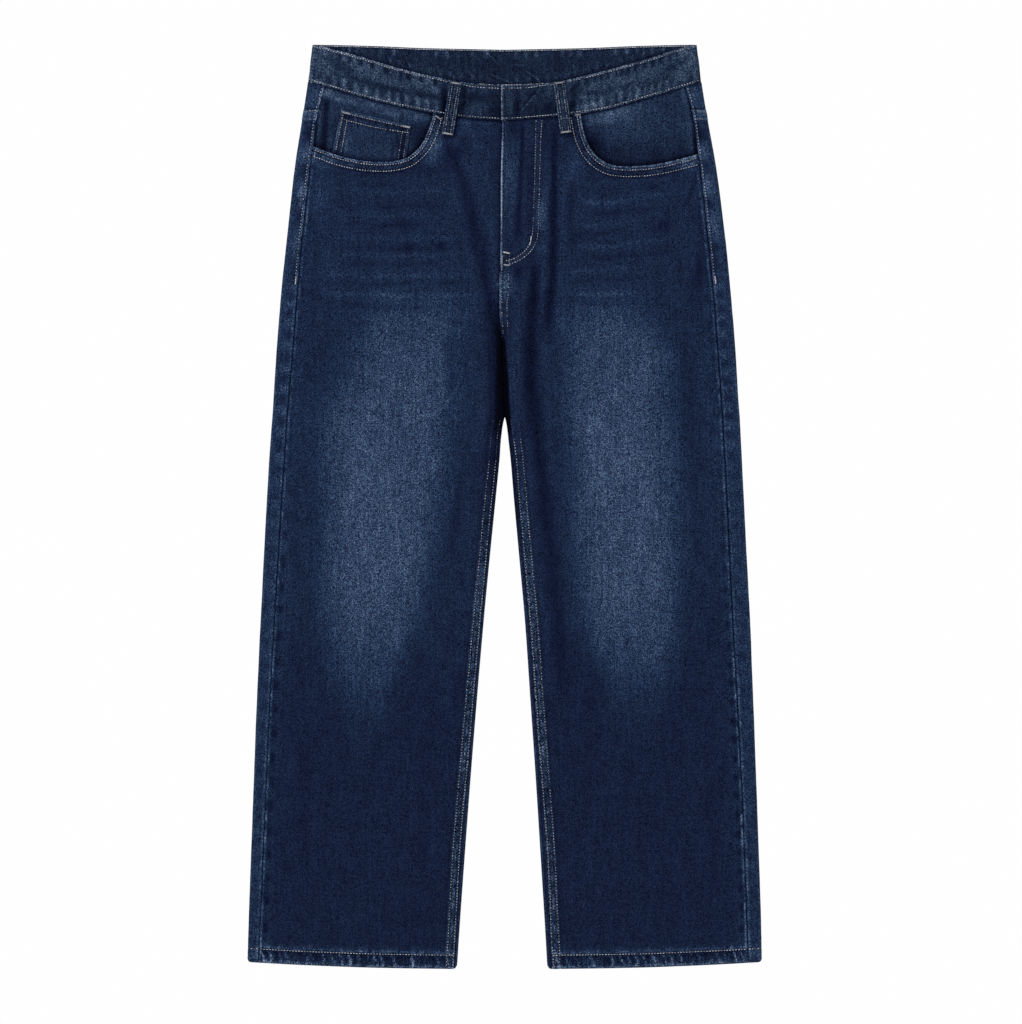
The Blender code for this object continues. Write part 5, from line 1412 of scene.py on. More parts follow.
def make_facing(side, tag):
    line = resample(POCKET_LINE[side], count=110)
    tucked = offset_line(line, side * TUCK)
    foot_y = line[0, 1] - TUCK
    tucked[0] = (side * (float(front_edge(side, foot_y)) - 0.5 * GAP), foot_y)
    # The tucked edge stops short of the pocket's inner end, so that it never crosses itself.
    in_x = line[-1, 0] - side * TUCK
    tucked[:, 0] = np.where(side * tucked[:, 0] < side * in_x, in_x, tucked[:, 0])
    start_y = float(BAND_LOW(side * float(front_edge(side, 462.0)))) - GAP
    x0 = side * (float(front_edge(side, start_y)) - 0.5 * GAP)
    s = np.linspace(0, 1, 111)
    top_x = x0 + (in_x - x0) * s
    top = np.stack([top_x, BAND_LOW(top_x) - GAP], 1)
    tucked[-8:, 1] = np.minimum(tucked[-8:, 1], np.interp(tucked[-8:, 0], np.sort(top_x), BAND_LOW(np.sort(top_x))) - 4.0)
    t = np.linspace(0, 1, 71)[:, None]
    X = tucked[None, :, 0] * (1 - t) + top[None, :, 0] * t
    Y = tucked[None, :, 1] * (1 - t) + top[None, :, 1] * t
    # The outseam side follows the seam.
    want = side * (front_edge(side, Y[:, 0]) - 0.5 * GAP)
    X = X + (want - X[:, 0])[:, None] * (1 - s[None]) ** 3
    b, z, tone = facing_detail(side, X, Y)
    base = np.stack([X, Y, b], -1)
    P = base + np.stack([0 * z, 0 * z, z], -1)
    return shell("facing_" + tag, P, base, CLOTH, 1.0, tone, np.stack([X, Y], -1), DENIM_FACING, k=5,
                 slot="denim_facing", replaces=["pocket_facing_" + tag])


FACING = {side: make_facing(side, tag) for side, tag in ((-1, "l"), (1, "r"))}


# ------------------------------------------------------------------ build: coin pocket

def coin_point(s, t):
    (x0, y0), (x1, y1), (x2, y2), (x3, y3) = COIN
    top = np.stack([x0 + (x1 - x0) * s, y0 + (y1 - y0) * s], -1)
    foot = np.stack([x3 + (x2 - x3) * s, y3 + (y2 - y3) * s - COIN_TUCK - 10.0 * np.sin(math.pi * s)], -1)
    return foot + (top - foot) * np.asarray(t)[..., None]


def coin_surface(s, t):
    p = coin_point(s, t)
    ground = HIP_HIGH - (CLOTH + GAP)
    wide, tall = 80.0, 58.0
    d_top, d_l, d_r = (1 - t) * tall, s * wide, (1 - s) * wide
    blotch = 0.5 + 0.5 * fractal(p[..., 0] / 6.0, p[..., 1] / 6.0, 601, 2)
    side_d = np.minimum(d_l, d_r)
    z = 0.35 * smooth((12.4 - d_top) / 1.5) + 0.22 * smooth((10.0 - side_d) / 1.5)
    z = z - 0.22 * (hump(d_top, 3.5, 0.5) + hump(d_top, 11.0, 0.5))
    z = z - 0.2 * (hump(side_d, 3.3, 0.5) + hump(side_d, 9.0, 0.5))
    z = z - 0.45 * (np.exp(-(d_top / 0.5) ** 2) + np.exp(-(side_d / 0.5) ** 2))
    z = z + 0.12 * fractal(p[..., 0] / 12.0, p[..., 1] / 12.0, 603)
    groove = hump(d_top, 4.5, 0.7) + hump(d_top, 11.9, 0.7) + hump(side_d, 4.3, 0.6) + hump(side_d, 10.0, 0.6)
    pull = noise(s * wide / 3.4, d_top / 9.0, 605)
    z = z + 0.14 * pull * hump(d_top, 7.2, 3.0)
    tone = 0.375 + 0.05 * (blotch - 0.5) - 0.10 * hump(d_top, 7.2, 3.6) + 0.14 * pull * hump(d_top, 7.2, 3.2)
    tone = tone - 0.12 * hump(side_d, 6.2, 2.8) + 0.07 * noise(p[..., 0] / 2.6, p[..., 1] / 3.4, 606) * hump(side_d, 6.2, 2.8)
    tone = tone + 0.20 * hump(d_top, 1.9, 1.3) * (0.45 + 0.7 * blotch) - 0.05 * hump(d_top, 5.2, 0.9)
    tone = tone + 0.15 * hump(d_l, 1.4, 1.1) * (0.4 + blotch) + 0.09 * hump(d_r, 1.2, 0.9) * (0.4 + blotch)
    # The dark line along the right edge is painted shadow.
    tone = tone + 0.08 * hump(d_r, 9.8, 0.8) - 0.10 * hump(d_r, 0.0, 0.8) - 0.06 * hump(d_l, 10.6, 0.8)
    tone = tone - 0.05 * hump(d_top, 13.4, 1.3)
    tone = tone + 0.12 * np.exp(-((p[..., 0] + 178.0) / 8.0) ** 2 - ((p[..., 1] - 403.0) / 12.0) ** 2)
    tone = tone - 0.12 * np.exp(-((p[..., 0] + 117.0) / 8.0) ** 2 - ((p[..., 1] - 400.0) / 15.0) ** 2)
    tone = tone - 0.05 * np.exp(-((p[..., 0] + 148.0) / 16.0) ** 2 - ((p[..., 1] - 404.0) / 8.0) ** 2)
    # Painted shade in the stitch grooves, and painted shadow under the pocket's edge.
    tone = tone - 0.10 * groove
    _, above = facing_height(-1, p[..., 0], p[..., 1])
    tone = tone - 0.20 * np.exp(-(np.maximum(above, 0) / 3.4) ** 2) - 0.05 * np.exp(-np.maximum(above, 0) / 14.0)
    return np.concatenate([p, (ground + z)[..., None]], -1), tone


def make_coin():
    s, t = np.meshgrid(np.linspace(0, 1, 81), np.linspace(0, 1, 66))
    P, tone = coin_surface(s, t)
    base = P.copy()
    base[..., 2] = HIP_HIGH - (CLOTH + GAP)
    return shell("coin_patch", P, base, CLOTH, 1.0, tone, P[..., :2].copy(), DENIM_FACING, k=5,
                 slot="denim_facing", replaces=["coin_pocket"])


COIN_PIECE = make_coin()


# ------------------------------------------------------------------ build: waistband

BAND_RADIUS = 0.5 * (BAND_HIGH - SEAT_LIFT)
BAND_MIDDLE = SEAT_LIFT + BAND_RADIUS


def band_reach(side, up):
    return outer(side, 508.0 if up else 466.0) - BAND_RADIUS


def band_frame(side, u):
    """u: 0 at the fly to 1 at the outer fold, 1 to 2 round it, 2 to 3 to the middle of
    the back. Gives the lower and upper edge points and the outward normal."""
    u = np.atleast_1d(np.asarray(u, float))
    ends = []
    for up in (False, True):
        start = side * (CENTRE_FRONT(463.5 if up else 424.5) - (0.4 if up else 2.0)) + 0.5 * GAP
        reach = float(band_reach(side, up))
        fn = band_up if up else band_low
        f = np.clip(u, 0, 1)
        a = start + (reach - start) * f
        g = np.clip(u - 1, 0, 1)
        a = np.where(u > 1, reach + BAND_RADIUS * np.sin(math.pi * g), a)
        h = np.clip(u - 2, 0, 1)
        a = np.where(u > 2, reach * (1 - h), a)
        y = fn(side, np.where(u > 1, np.where(u > 2, a, reach), a), g)
        z = BAND_MIDDLE + BAND_RADIUS * np.cos(math.pi * g)
        ends.append(np.stack([side * a, y, z], -1))
    g = np.clip(u - 1, 0, 1)
    n = np.stack([side * np.sin(math.pi * g), 0 * g, np.cos(math.pi * g)], -1)
    lo, up = ends
    across = up - lo
    across /= np.linalg.norm(across, axis=1)[:, None]
    n = n - across * (n * across).sum(1)[:, None]
    n /= np.linalg.norm(n, axis=1)[:, None]
    return lo, up, n


def band_run(side):
    """Arc length along the band's middle at fine steps of u."""
    u = np.linspace(0, 3, 1201)
    lo, up, _ = band_frame(side, u)
    mid = 0.5 * (lo + up)
    return u, np.concatenate([[0], np.cumsum(np.linalg.norm(np.diff(mid, axis=0), axis=1))])


BAND_RUN = {s: band_run(s) for s in (-1, 1)}
# Fold lines worn light on the inside of the back's band: from x, y to x, y, tone.
INSIDE_LINES = (
    (-15.7, 475.4, -5.0, 470.5, 0.26), (-5.0, 470.5, 10.0, 464.8, 0.22), (24.7, 478.2, 34.0, 472.0, 0.30),
    (34.0, 472.0, 43.0, 461.0, 0.24), (17.6, 467.0, 21.0, 461.0, 0.16), (-57.0, 474.0, -53.0, 461.0, 0.26),
    (-109.0, 494.0, -103.0, 482.0, 0.20), (-75.0, 486.0, -68.0, 468.0, 0.22), (8.0, 486.0, 25.0, 484.5, 0.12),
    (-64.0, 500.0, -62.0, 490.0, 0.16), (-130.0, 499.0, -125.0, 487.0, 0.14), (92.0, 484.0, 96.0, 473.0, 0.10),
    (-20.0, 499.0, -4.0, 483.0, 0.24), (-42.0, 482.0, -30.0, 466.0, 0.14), (-30.0, 494.0, -26.0, 484.0, 0.12),
    (52.0, 496.0, 54.0, 486.0, 0.10), (70.0, 490.0, 86.0, 474.0, 0.12), (-96.0, 480.0, -90.0, 470.0, 0.12),
)
# Light bars on the outside where the thread has drawn the band up: x, strength.
BARS_LOW = (
    (-200.5, 0.35), (-187.3, 0.8), (-175.7, 0.95), (-163.1, 1.15), (-152.1, 1.15), (-140.0, 1.15), (-127.9, 1.1),
    (-118.0, 1.0), (-107.0, 0.95), (-96.0, 0.95), (-85.0, 0.85), (-75.1, 0.6), (-42.6, 0.75), (-34.9, 0.95),
    (-27.2, 0.95), (-19.5, 0.75), (-11.0, 0.3), (7.0, 0.3), (20.5, 0.25), (30.0, 0.3), (39.0, 0.35), (80.0, 0.6),
    (88.8, 0.7), (97.6, 0.8), (107.5, 0.8), (117.4, 0.75), (126.8, 1.1), (137.5, 0.9), (146.0, 1.1), (155.0, 0.7),
    (162.0, 0.75), (169.7, 0.8), (177.9, 0.75), (188.0, 0.45), (199.0, 0.3),
)
# Dark dimples under the upper row: x, strength.
DENTS_UP = (
    (-193.0, 0.5), (-181.8, 0.9), (-170.8, 1.0), (-158.7, 1.0), (-144.9, 1.0), (-130.1, 1.0), (-121.0, 0.5),
    (-113.6, 1.1), (-105.9, 1.1), (-91.6, 1.0), (-76.2, 1.0), (-43.0, 0.6), (-30.0, 0.4), (-17.0, 0.5), (12.0, 0.5),
    (27.0, 0.5), (42.0, 0.4), (82.0, 0.6), (91.0, 0.8), (98.7, 0.8), (105.3, 0.8), (113.0, 0.9), (122.4, 0.9),
    (129.5, 1.0), (136.1, 1.0), (144.4, 1.1), (153.7, 1.0), (163.6, 1.0), (171.9, 0.9), (181.2, 0.8), (188.4, 0.6),
)
# Worn marks, dark marks and painted shadows beside the belt loops on the outside: x, millimetres above the lower edge,
# half sizes, slope, tone.
BAND_MARKS = (
    (-203, 10, 12, 7, 0.0, 0.10), (-207, 29, 9, 7, 0.0, 0.08), (-211, 20, 5, 8, 0.0, 0.05),
    (-181, 25, 13, 4.5, 0.0, -0.09), (-178, 16, 11, 3.2, 0.03, -0.12), (-146, 18, 15, 3.0, 0.05, -0.13),
    (-121, 17, 14, 3.4, 0.0, -0.18), (-100, 17, 8, 3.0, 0.0, -0.08), (-84, 18, 14, 3.2, 0.02, -0.16),
    (-141, 29, 5, 4, 0.0, 0.12), (-150, 33, 5, 3, 0.0, 0.10), (-163, 29, 5, 4, 0.0, 0.07),
    (-128, 26, 7, 3.5, 0.0, 0.07), (-97, 27, 7, 4, 0.0, 0.06), (-112, 25, 6, 3, 0.0, 0.05), (-118, 35, 4, 3, 0.0, 0.08),
    (-66.0, 18, 3.2, 18, 0.0, -0.22), (-45.0, 22, 3.0, 14, 0.0, -0.24), (-31, 23, 15, 4.5, 0.0, -0.10),
    (-27, 36, 12, 2.5, 0.0, 0.08), (-36, 31, 5, 3, 0.0, 0.07), (-14, 26, 6, 6, 0.0, -0.05), (-10, 18, 5, 22, 0.0, -0.09),
    (76, 18, 4.5, 13, 0.0, -0.26), (88, 22.5, 12, 2.2, -0.28, -0.17), (90, 17.0, 13, 1.8, -0.10, 0.14),
    (97, 7, 18, 6, 0.0, 0.09), (109.7, 25, 2.5, 5, 0.0, 0.16), (84, 31, 9, 3, -0.1, -0.08), (147, 6.5, 9, 5.5, 0.0, 0.12),
    (118, 19, 14, 3.5, 0.1, -0.07), (124, 28, 13, 4, 0.0, 0.09), (136, 20, 9, 3, 0.2, -0.10), (133, 24, 8, 2, 0.2, 0.08),
    (166, 16, 10, 4, 0.0, -0.08), (180, 25, 15, 3.0, -0.05, -0.10), (163, 24, 8, 4, 0.0, 0.05), (198, 12, 10, 6, 0.0, 0.06),
    (196, 24, 14, 12, 0.0, 0.06), (147, 34, 6, 3, 0.0, 0.05), (205, 30, 7, 6, 0.0, 0.03),
    (13.7, 14, 3.2, 12, 0.0, -0.17), (5, 18, 7, 10, 0.0, 0.05), (33, 28, 10, 3.5, 0.0, -0.10), (24, 18, 4, 5, 0.0, -0.05),
    (48, 12, 4, 8, 0.0, -0.07), (20, 34, 12, 2.4, 0.0, 0.05), (38, 10, 8, 5, 0.0, -0.04), (48, 30, 4, 8, 0.0, 0.05),
)


def segment(x, y, x0, y0, x1, y1):
    """How far off a short straight line a point is, and a taper along the line."""
    dx, dy = x1 - x0, y1 - y0
    length = math.hypot(dx, dy)
    t = ((x - x0) * dx + (y - y0) * dy) / length ** 2
    off = ((x - x0) * dy - (y - y0) * dx) / length
    return off, smooth((t + 0.15) / 0.3) * smooth((1.15 - t) / 0.3)


def band_detail(side, run, q, tall, under, inside, x, y):
    """Offset outwards and tone at q millimetres up from the band's lower edge."""
    k = side * run
    blotch = 0.5 + 0.5 * fractal(k / 8.0, q / 8.0, 701, 2)
    small = 0.5 + 0.5 * fractal(k / 2.6, q / 3.4, 704, 2)
    slub = fractal(k / 3.0, q / 14.0, 703, 2)
    d_up = tall - q
    if inside:
        # The inside is darker than the outside: painted shade inside the waist.
        tone = 0.265 + 0.07 * (blotch - 0.5) + 0.05 * slub
        z = 0.22 * fractal(x / 14.0, y / 18.0, 717) * smooth(d_up / 6.0)
        strokes = smooth((np.sin(x / 1.85 + 2.2 * noise(x / 16.0, 0.0, 719)) - 0.1) / 0.7) * smooth(0.75 + noise(x / 9.0, 2.0, 720))
        tone = tone + 0.17 * strokes * smooth((12.0 - d_up) / 5.0) * smooth((d_up - 1.5) / 1.5)
        front = y - BAND_UP(x)
        tone = tone + 0.12 * smooth((np.sin(x / 1.7 + 2.2 * noise(x / 14.0, 5.0, 721)) - 0.1) / 0.8) * hump(front, 6.5, 3.5)
        tone = tone + 0.05 * smooth((12.0 - d_up) / 6.0) * blotch + 0.04 * hump(d_up, 0.8, 1.2) - 0.05 * hump(d_up, 3.0, 0.9)
        tone = tone + 0.03 * np.exp(-((x + 45.0) / 60.0) ** 2) * noise(x / 5.0, y / 30.0, 723)
        for x0, y0, x1, y1, light in INSIDE_LINES:
            off, along = segment(x, y, x0, y0, x1, y1)
            tone = tone + light * along * (np.exp(-(off / 0.75) ** 2) - 0.30 * np.exp(-((np.abs(off) - 2.0) / 1.3) ** 2))
            z = z + 0.30 * along * np.exp(-(off / 1.3) ** 2)
        # Painted shadow of the front band's top edge on the inside of the back.
        tone = tone * (1.0 - 0.25 * np.exp(-(np.maximum(y - BAND_UP(x), 0.0) / 3.0) ** 2))
        return z - 0.2 * hump(d_up, 1.8, 0.55), tone
    out = 1.0 - under
    wide = smooth((run - 62.0) / 10.0)
    # The thread draws the band into short upright bars over the lower row and dimples under the upper one.
    lean = x + 0.9 * noise(q / 6.0, k / 9.0, 705)
    bars, dents = -0.40 + 0 * lean, 0.22 + 0 * lean
    for bx, amount in BARS_LOW:
        bars = bars + amount * np.exp(-((lean - bx) / 2.7) ** 2)
    for bx, amount in DENTS_UP:
        dents = dents - amount * np.exp(-((lean - bx) / 2.6) ** 2)
    beyond = smooth((np.abs(x) - 204.0) / 6.0) + under
    bars = bars * np.clip(1 - beyond, 0, 1) + np.clip(beyond, 0, 1) * 0.5 * np.sin(k / 1.7 + 2 * noise(k / 13.0, 0.0, 706))
    dents = dents * np.clip(1 - beyond, 0, 1)
    centre = 1.0 - smooth((np.abs(x) - 46.0) / 10.0)
    rise = smooth((q - 2.0) / 2.5) * smooth((17.5 - q) / 8.0)
    drop = smooth((d_up - 2.2) / 2.2) * smooth((12.5 - d_up) / 5.0)
    z = 0.24 * fractal(k / 15.0, q / 20.0, 707) * smooth(q / 6.0) * smooth(d_up / 6.0)
    z = z + 0.26 * bars * rise + 0.20 * dents * drop
    z = z - 0.26 * (hump(q, 2.4, 0.55) + hump(d_up, 2.6, 0.55))
    tone = 0.300 + 0.112 * wide + 0.10 * (blotch - 0.5) + 0.06 * (small - 0.5) + 0.04 * slub
    tone = tone + (0.30 - 0.09 * centre) * bars * rise + (0.29 - 0.13 * centre) * dents * drop
    drag = np.sin((k * 0.35 - q * 1.1 * side + 7 * noise(k / 30.0, q / 25.0, 709)) / 4.2)
    z = z + 0.10 * drag * wide
    tone = tone + 0.045 * drag * wide * (0.3 + blotch)
    for mx, mq, hx, hq, slope, amount in BAND_MARKS:
        if mx * side > 0 or abs(mx) < 20:
            ragged = 1.0 + 0.40 * noise(k / 3.5, q / 3.5, 730)
            tone = tone + out * amount * ragged * np.exp(-((x - mx) / hx) ** 2 - ((q - mq - slope * (x - mx)) / hq) ** 2)
    off, along = segment(x, q + 425.0, 42.0, 460.5, 17.0, 432.0)
    z = z + 0.35 * out * along * np.exp(-(off / 1.4) ** 2)
    tone = tone + out * along * (0.20 * np.exp(-(off / 0.9) ** 2) - 0.06 * np.exp(-((off - 2.6) / 1.6) ** 2))
    tone = tone + (0.26 + 0.12 * wide) * hump(q, 0.2, 0.8) * (0.45 + 0.8 * small)
    tone = tone + (0.26 + 0.12 * wide) * (1.0 - 0.35 * smooth((x - 128.0) / 30.0)) * hump(d_up, 0.6, 1.5) * (0.45 + 0.8 * small)
    # Painted shade in the grooves by the rows.
    tone = tone - 0.05 * hump(d_up, 3.6, 0.7) - 0.10 * hump(q, 1.2, 0.7) * (0.5 + small) - 0.05 * hump(q, 3.6, 0.7)
    if side < 0:
        tone = tone + 0.10 * wide * out * hump(q, 2.6, 1.6) * (0.4 + small)
    if side < 0:
        z = z - out * 0.75 * np.exp(-run / 5.0)
        # Painted shadow under the right end's lap.
        tone = tone - 0.10 * np.exp(-run / 2.2) * out
    else:
        z = z + out * (0.62 * np.exp(-run / 9.0) - 0.15 * hump(run, 2.9, 0.7) - 0.7 * np.exp(-(run / 0.45) ** 2))
        tone = tone + out * ((0.44 + 0.08 * small) * hump(run, 0.9, 1.1) - 0.06 * hump(run, 3.4, 0.9))
    return z, tone


def make_band():
    q_steps = np.concatenate([spaced([0.0, (6.0, 0.70)]), spaced([6.0, (34.0, 1.35)])[1:], spaced([34.0, (40.0, 0.70)])[1:]])
    frac = q_steps / 40.0
    sections = []
    for side in (1, -1):
        u_all, run_all = BAND_RUN[side]
        total = run_all[-1]
        run = spaced([0.0, (2.4, 0.35), (60.0, 1.05), (215.0, 1.35), (total, 1.6)])
        if side < 0:
            run = run[:-1]
        u = np.interp(run, run_all, u_all)
        sections.append((side, run, u))
    rings, tones, cuts = [], [], []
    for side, run, u in sections:
        lo, up, n = band_frame(side, u)
        tall = np.linalg.norm(up - lo, axis=1)[:, None]
        under = np.clip(u - 1, 0, 1)[:, None]
        R, F = run[:, None], frac[None]
        across = (up - lo) / tall
        r = 0.5 * BAND_WALL

        def face(inside):
            q = r * 0.7 + (tall - 1.4 * r) * F
            flat = lo[:, None] + across[:, None] * q[..., None]
            z, tone = band_detail(side, R, q, tall, under, inside, flat[..., 0], flat[..., 1])
            lift = -BAND_WALL - z if inside else z
            pos = lo[:, None] + across[:, None] * q[..., None] + n[:, None] * np.broadcast_to(lift, q.shape)[..., None]
            return pos, tone, q

        out_p, out_t, out_q = face(False)
        in_p, in_t, in_q = face(True)
        caps = []
        for top in (True, False):
            t = (math.pi * np.arange(1, 6) / 6.0)[None, :, None]
            first = out_p[:, -1] if top else in_p[:, 0]
            second = in_p[:, -1] if top else out_p[:, 0]
            mid, half = 0.5 * (first + second)[:, None], 0.5 * (first - second)[:, None]
            push = across[:, None] * (r * 0.7) * (1 if top else -1)
            caps.append(mid + half * np.cos(t) + push * np.sin(t))
        ring = np.concatenate([out_p, caps[0], in_p[:, ::-1], caps[1]], 1)
        cap_t = np.repeat(out_t[:, -1:] * 0.7 + in_t[:, -1:] * 0.3, 5, 1)
        cap_b = np.repeat(out_t[:, :1] * 0.8, 5, 1)
        tone = np.concatenate([out_t, cap_t, in_t[:, ::-1], cap_b], 1)
        qq = np.concatenate([out_q, np.repeat(out_q[:, -1:], 5, 1), in_q[:, ::-1], np.repeat(out_q[:, :1], 5, 1)], 1)
        cut = np.stack([np.broadcast_to(side * R, qq.shape) + 0 * qq, 700 + qq], -1)
        rings.append(ring)
        tones.append(tone)
        cuts.append(cut)
    # Right side from the fly round to the middle of the back, then the left side back.
    ring = np.concatenate([rings[0], rings[1][::-1]])
    tone = np.concatenate([tones[0], tones[1][::-1]])
    cut = np.concatenate([cuts[0], cuts[1][::-1]])
    n_s, n_r = ring.shape[:2]
    idx = np.arange(n_s * n_r).reshape(n_s, n_r)
    nxt = np.roll(idx, -1, 1)
    quad = np.stack([idx[:-1], idx[1:], nxt[1:], nxt[:-1]], -1).reshape(-1, 4)
    # Each cut end is closed by quads from its outer face to its inner face.
    n_q = len(frac)
    ends = []
    for row, flip in ((0, False), (n_s - 1, True)):
        loop = idx[row]
        outer_i, top_i = loop[:n_q], loop[n_q:n_q + 5]
        inner_i = loop[n_q + 5:2 * n_q + 5][::-1]
        bottom_i = loop[2 * n_q + 5:]
        strip = [[outer_i[k], outer_i[k + 1], inner_i[k + 1], inner_i[k]] for k in range(n_q - 1)]
        tops = [[outer_i[-1], *top_i, inner_i[-1]]]
        bots = [[inner_i[0], *bottom_i, outer_i[0]]]
        for group in (strip, tops, bots):
            arr = np.array(group)
            ends.append(arr[:, ::-1] if flip else arr)
    faces = [quad] + ends
    p = ring.reshape(-1, 3)
    test = np.cross(p[quad[5, 1]] - p[quad[5, 0]], p[quad[5, 3]] - p[quad[5, 0]])
    if test[2] < 0:
        faces = [f[:, ::-1] for f in faces]
    return new_object("band", p, faces, tone.ravel(), cut.reshape(-1, 2), DENIM_BAND,
                      slot="denim_waistband", replaces=["waistband"])


BAND = make_band()


def band_line(side, run0, run1, q_fn, inside=False, step=1.2):
    """Points and outward normals along the band, q_fn(tall) up from its lower edge."""
    u_all, run_all = BAND_RUN[side]
    run = np.arange(run0, min(run1, run_all[-1]) + 1e-6, step)
    u = np.interp(run, run_all, u_all)
    lo, up, n = band_frame(side, u)
    tall = np.linalg.norm(up - lo, axis=1)
    q = q_fn(tall)
    p = lo + (up - lo) / tall[:, None] * q[:, None]
    z, _ = band_detail(side, run, q, tall, np.clip(u - 1, 0, 1), inside, p[:, 0], p[:, 1])
    if inside:
        return p - n * (BAND_WALL + z)[:, None], -n
    return p + n * z[:, None], n


# ------------------------------------------------------------------ build: belt loops

def loop_frame(name):
    tx, ty, fx, fy = LOOPS[name]
    d = np.array([tx - fx, ty - fy])
    length = float(np.hypot(*d))
    d /= length
    side = np.array([d[1], -d[0]])
    return np.array([fx, fy]), d, side, length


def loop_surface(name, s, t):
    """s across in millimetres from the middle, t up in millimetres from the foot."""
    foot, d, side, length = loop_frame(name)
    p = foot + d * t[..., None] + side * s[..., None]
    over = smooth((p[..., 1] - BAND_LOW(p[..., 0]) + 9.0) / 7.0)
    z = HIP_HIGH + (BAND_HIGH - HIP_HIGH) * over + GAP + LOOP_WALL
    half = 0.5 * LOOP_WIDE
    e = half - np.abs(s)
    blotch = 0.5 + 0.5 * fractal(p[..., 0] / 4.0, p[..., 1] / 5.0, 801, 2)
    z = z + 0.11 * hump(e, 4.6, 2.4) - 0.20 * hump(e, 3.4, 0.5) - 0.75 * (1 - np.sqrt(np.clip(1 - (1 - np.clip(e / 0.9, 0, 1)) ** 2, 0, 1)))
    end = np.minimum(t, length - t)
    z = z - 0.55 * hump(end, 1.9, 1.1) - 0.8 * (1 - np.sqrt(np.clip(1 - (1 - np.clip(end / 1.0, 0, 1)) ** 2, 0, 1)))
    z = z + 0.14 * fractal(p[..., 0] / 7.0, p[..., 1] / 9.0, 803)
    # The light edges are wear; the dark line right at the edges and the grooves by the rows are painted shade.
    tone = 0.335 + 0.10 * (blotch - 0.5) + 0.34 * hump(e, 0.9, 0.8) * (0.5 + 0.6 * blotch) - 0.22 * hump(e, -0.2, 0.5)
    tone = tone - 0.13 * hump(e, 2.2, 0.7) + 0.09 * hump(e, 6.6, 1.4) * blotch - 0.13 * hump(e, 4.6, 0.8) - 0.12 * hump(end, 4.2, 1.4)
    return np.concatenate([p, z[..., None]], -1), tone


def make_loop(name):
    _, _, _, length = loop_frame(name)
    half = 0.5 * LOOP_WIDE
    s_line = np.concatenate([spaced([-half, (-half + 1.2, 0.3)]), spaced([-half + 1.2, (half - 1.2, 0.77)])[1:],
                             spaced([half - 1.2, (half, 0.3)])[1:]])
    t_line = np.concatenate([spaced([0.0, (1.2, 0.3)]), spaced([1.2, (length - 1.2, 0.95)])[1:],
                             spaced([length - 1.2, (length, 0.3)])[1:]])
    s, t = np.meshgrid(s_line, t_line)
    P, tone = loop_surface(name, s, t)
    base = P.copy()
    over = smooth((P[..., 1] - BAND_LOW(P[..., 0]) + 9.0) / 7.0)
    base[..., 2] = HIP_HIGH + (BAND_HIGH - HIP_HIGH) * over + GAP + LOOP_WALL
    return shell(name.replace("belt_loop", "loop"), P, base, LOOP_WALL - 0.1, 1.0, tone,
                 np.stack([P[..., 0] + 900, P[..., 1]], -1), DENIM_TRIM, k=4, slot="denim_waistband", replaces=[name])


LOOP_PIECES = {name: make_loop(name) for name in LOOPS}


def make_back_loop(name, x):
    half, y0 = 0.5 * LOOP_WIDE, 448.0
    y1 = float(BAND_BACK["up"](abs(x))) - 0.4
    s, t = np.meshgrid(np.linspace(-half, half, 15), np.linspace(y0, y1, 49))
    e, end = half - np.abs(s), np.minimum(t - y0, y1 - t)
    z = 0.05 + 0.20 * hump(e, 2.6, 0.6) + 0.35 * np.exp(-(e / 0.6) ** 2) + 0.3 * hump(end, 1.8, 1.0)
    tone = 0.36 + 0.14 * hump(e, 0.7, 0.7) + 0.04 * fractal(s / 5.0, t / 6.0, 811)
    X = x + s
    base = np.stack([X, t, np.zeros_like(t)], -1)
    P = base + np.stack([0 * z, 0 * z, z], -1)
    return shell(name.replace("belt_loop", "loop"), P, base, 1.2, -1.0, tone, np.stack([X, t], -1), DENIM_TRIM,
                 k=4, slot="denim_waistband", replaces=[name])


for _name, _x in BACK_LOOPS.items():
    LOOP_PIECES[_name] = make_back_loop(_name, _x)


# ------------------------------------------------------------------ build: patch pockets

def patch_point(side, s, t):
    """s 0 at the inner edge to 1 at the outer, t 0 at the foot to 1 at the top."""
    (ao, yo), (ai, yi), (bi, zi), (bm, zm), (bo, zo) = PATCH
    top = np.stack([ai + (ao - ai) * s, yi + (yo - yi) * s], -1)
    left = np.clip(s * 2, 0, 1)
    right = np.clip(s * 2 - 1, 0, 1)
    foot = np.stack([np.where(s < 0.5, bi + (bm - bi) * left, bm + (bo - bm) * right),
                     np.where(s < 0.5, zi + (zm - zi) * left, zm + (zo - zm) * right)], -1)
    p = foot + (top - foot) * t[..., None]
    return side * p[..., 0], p[..., 1]


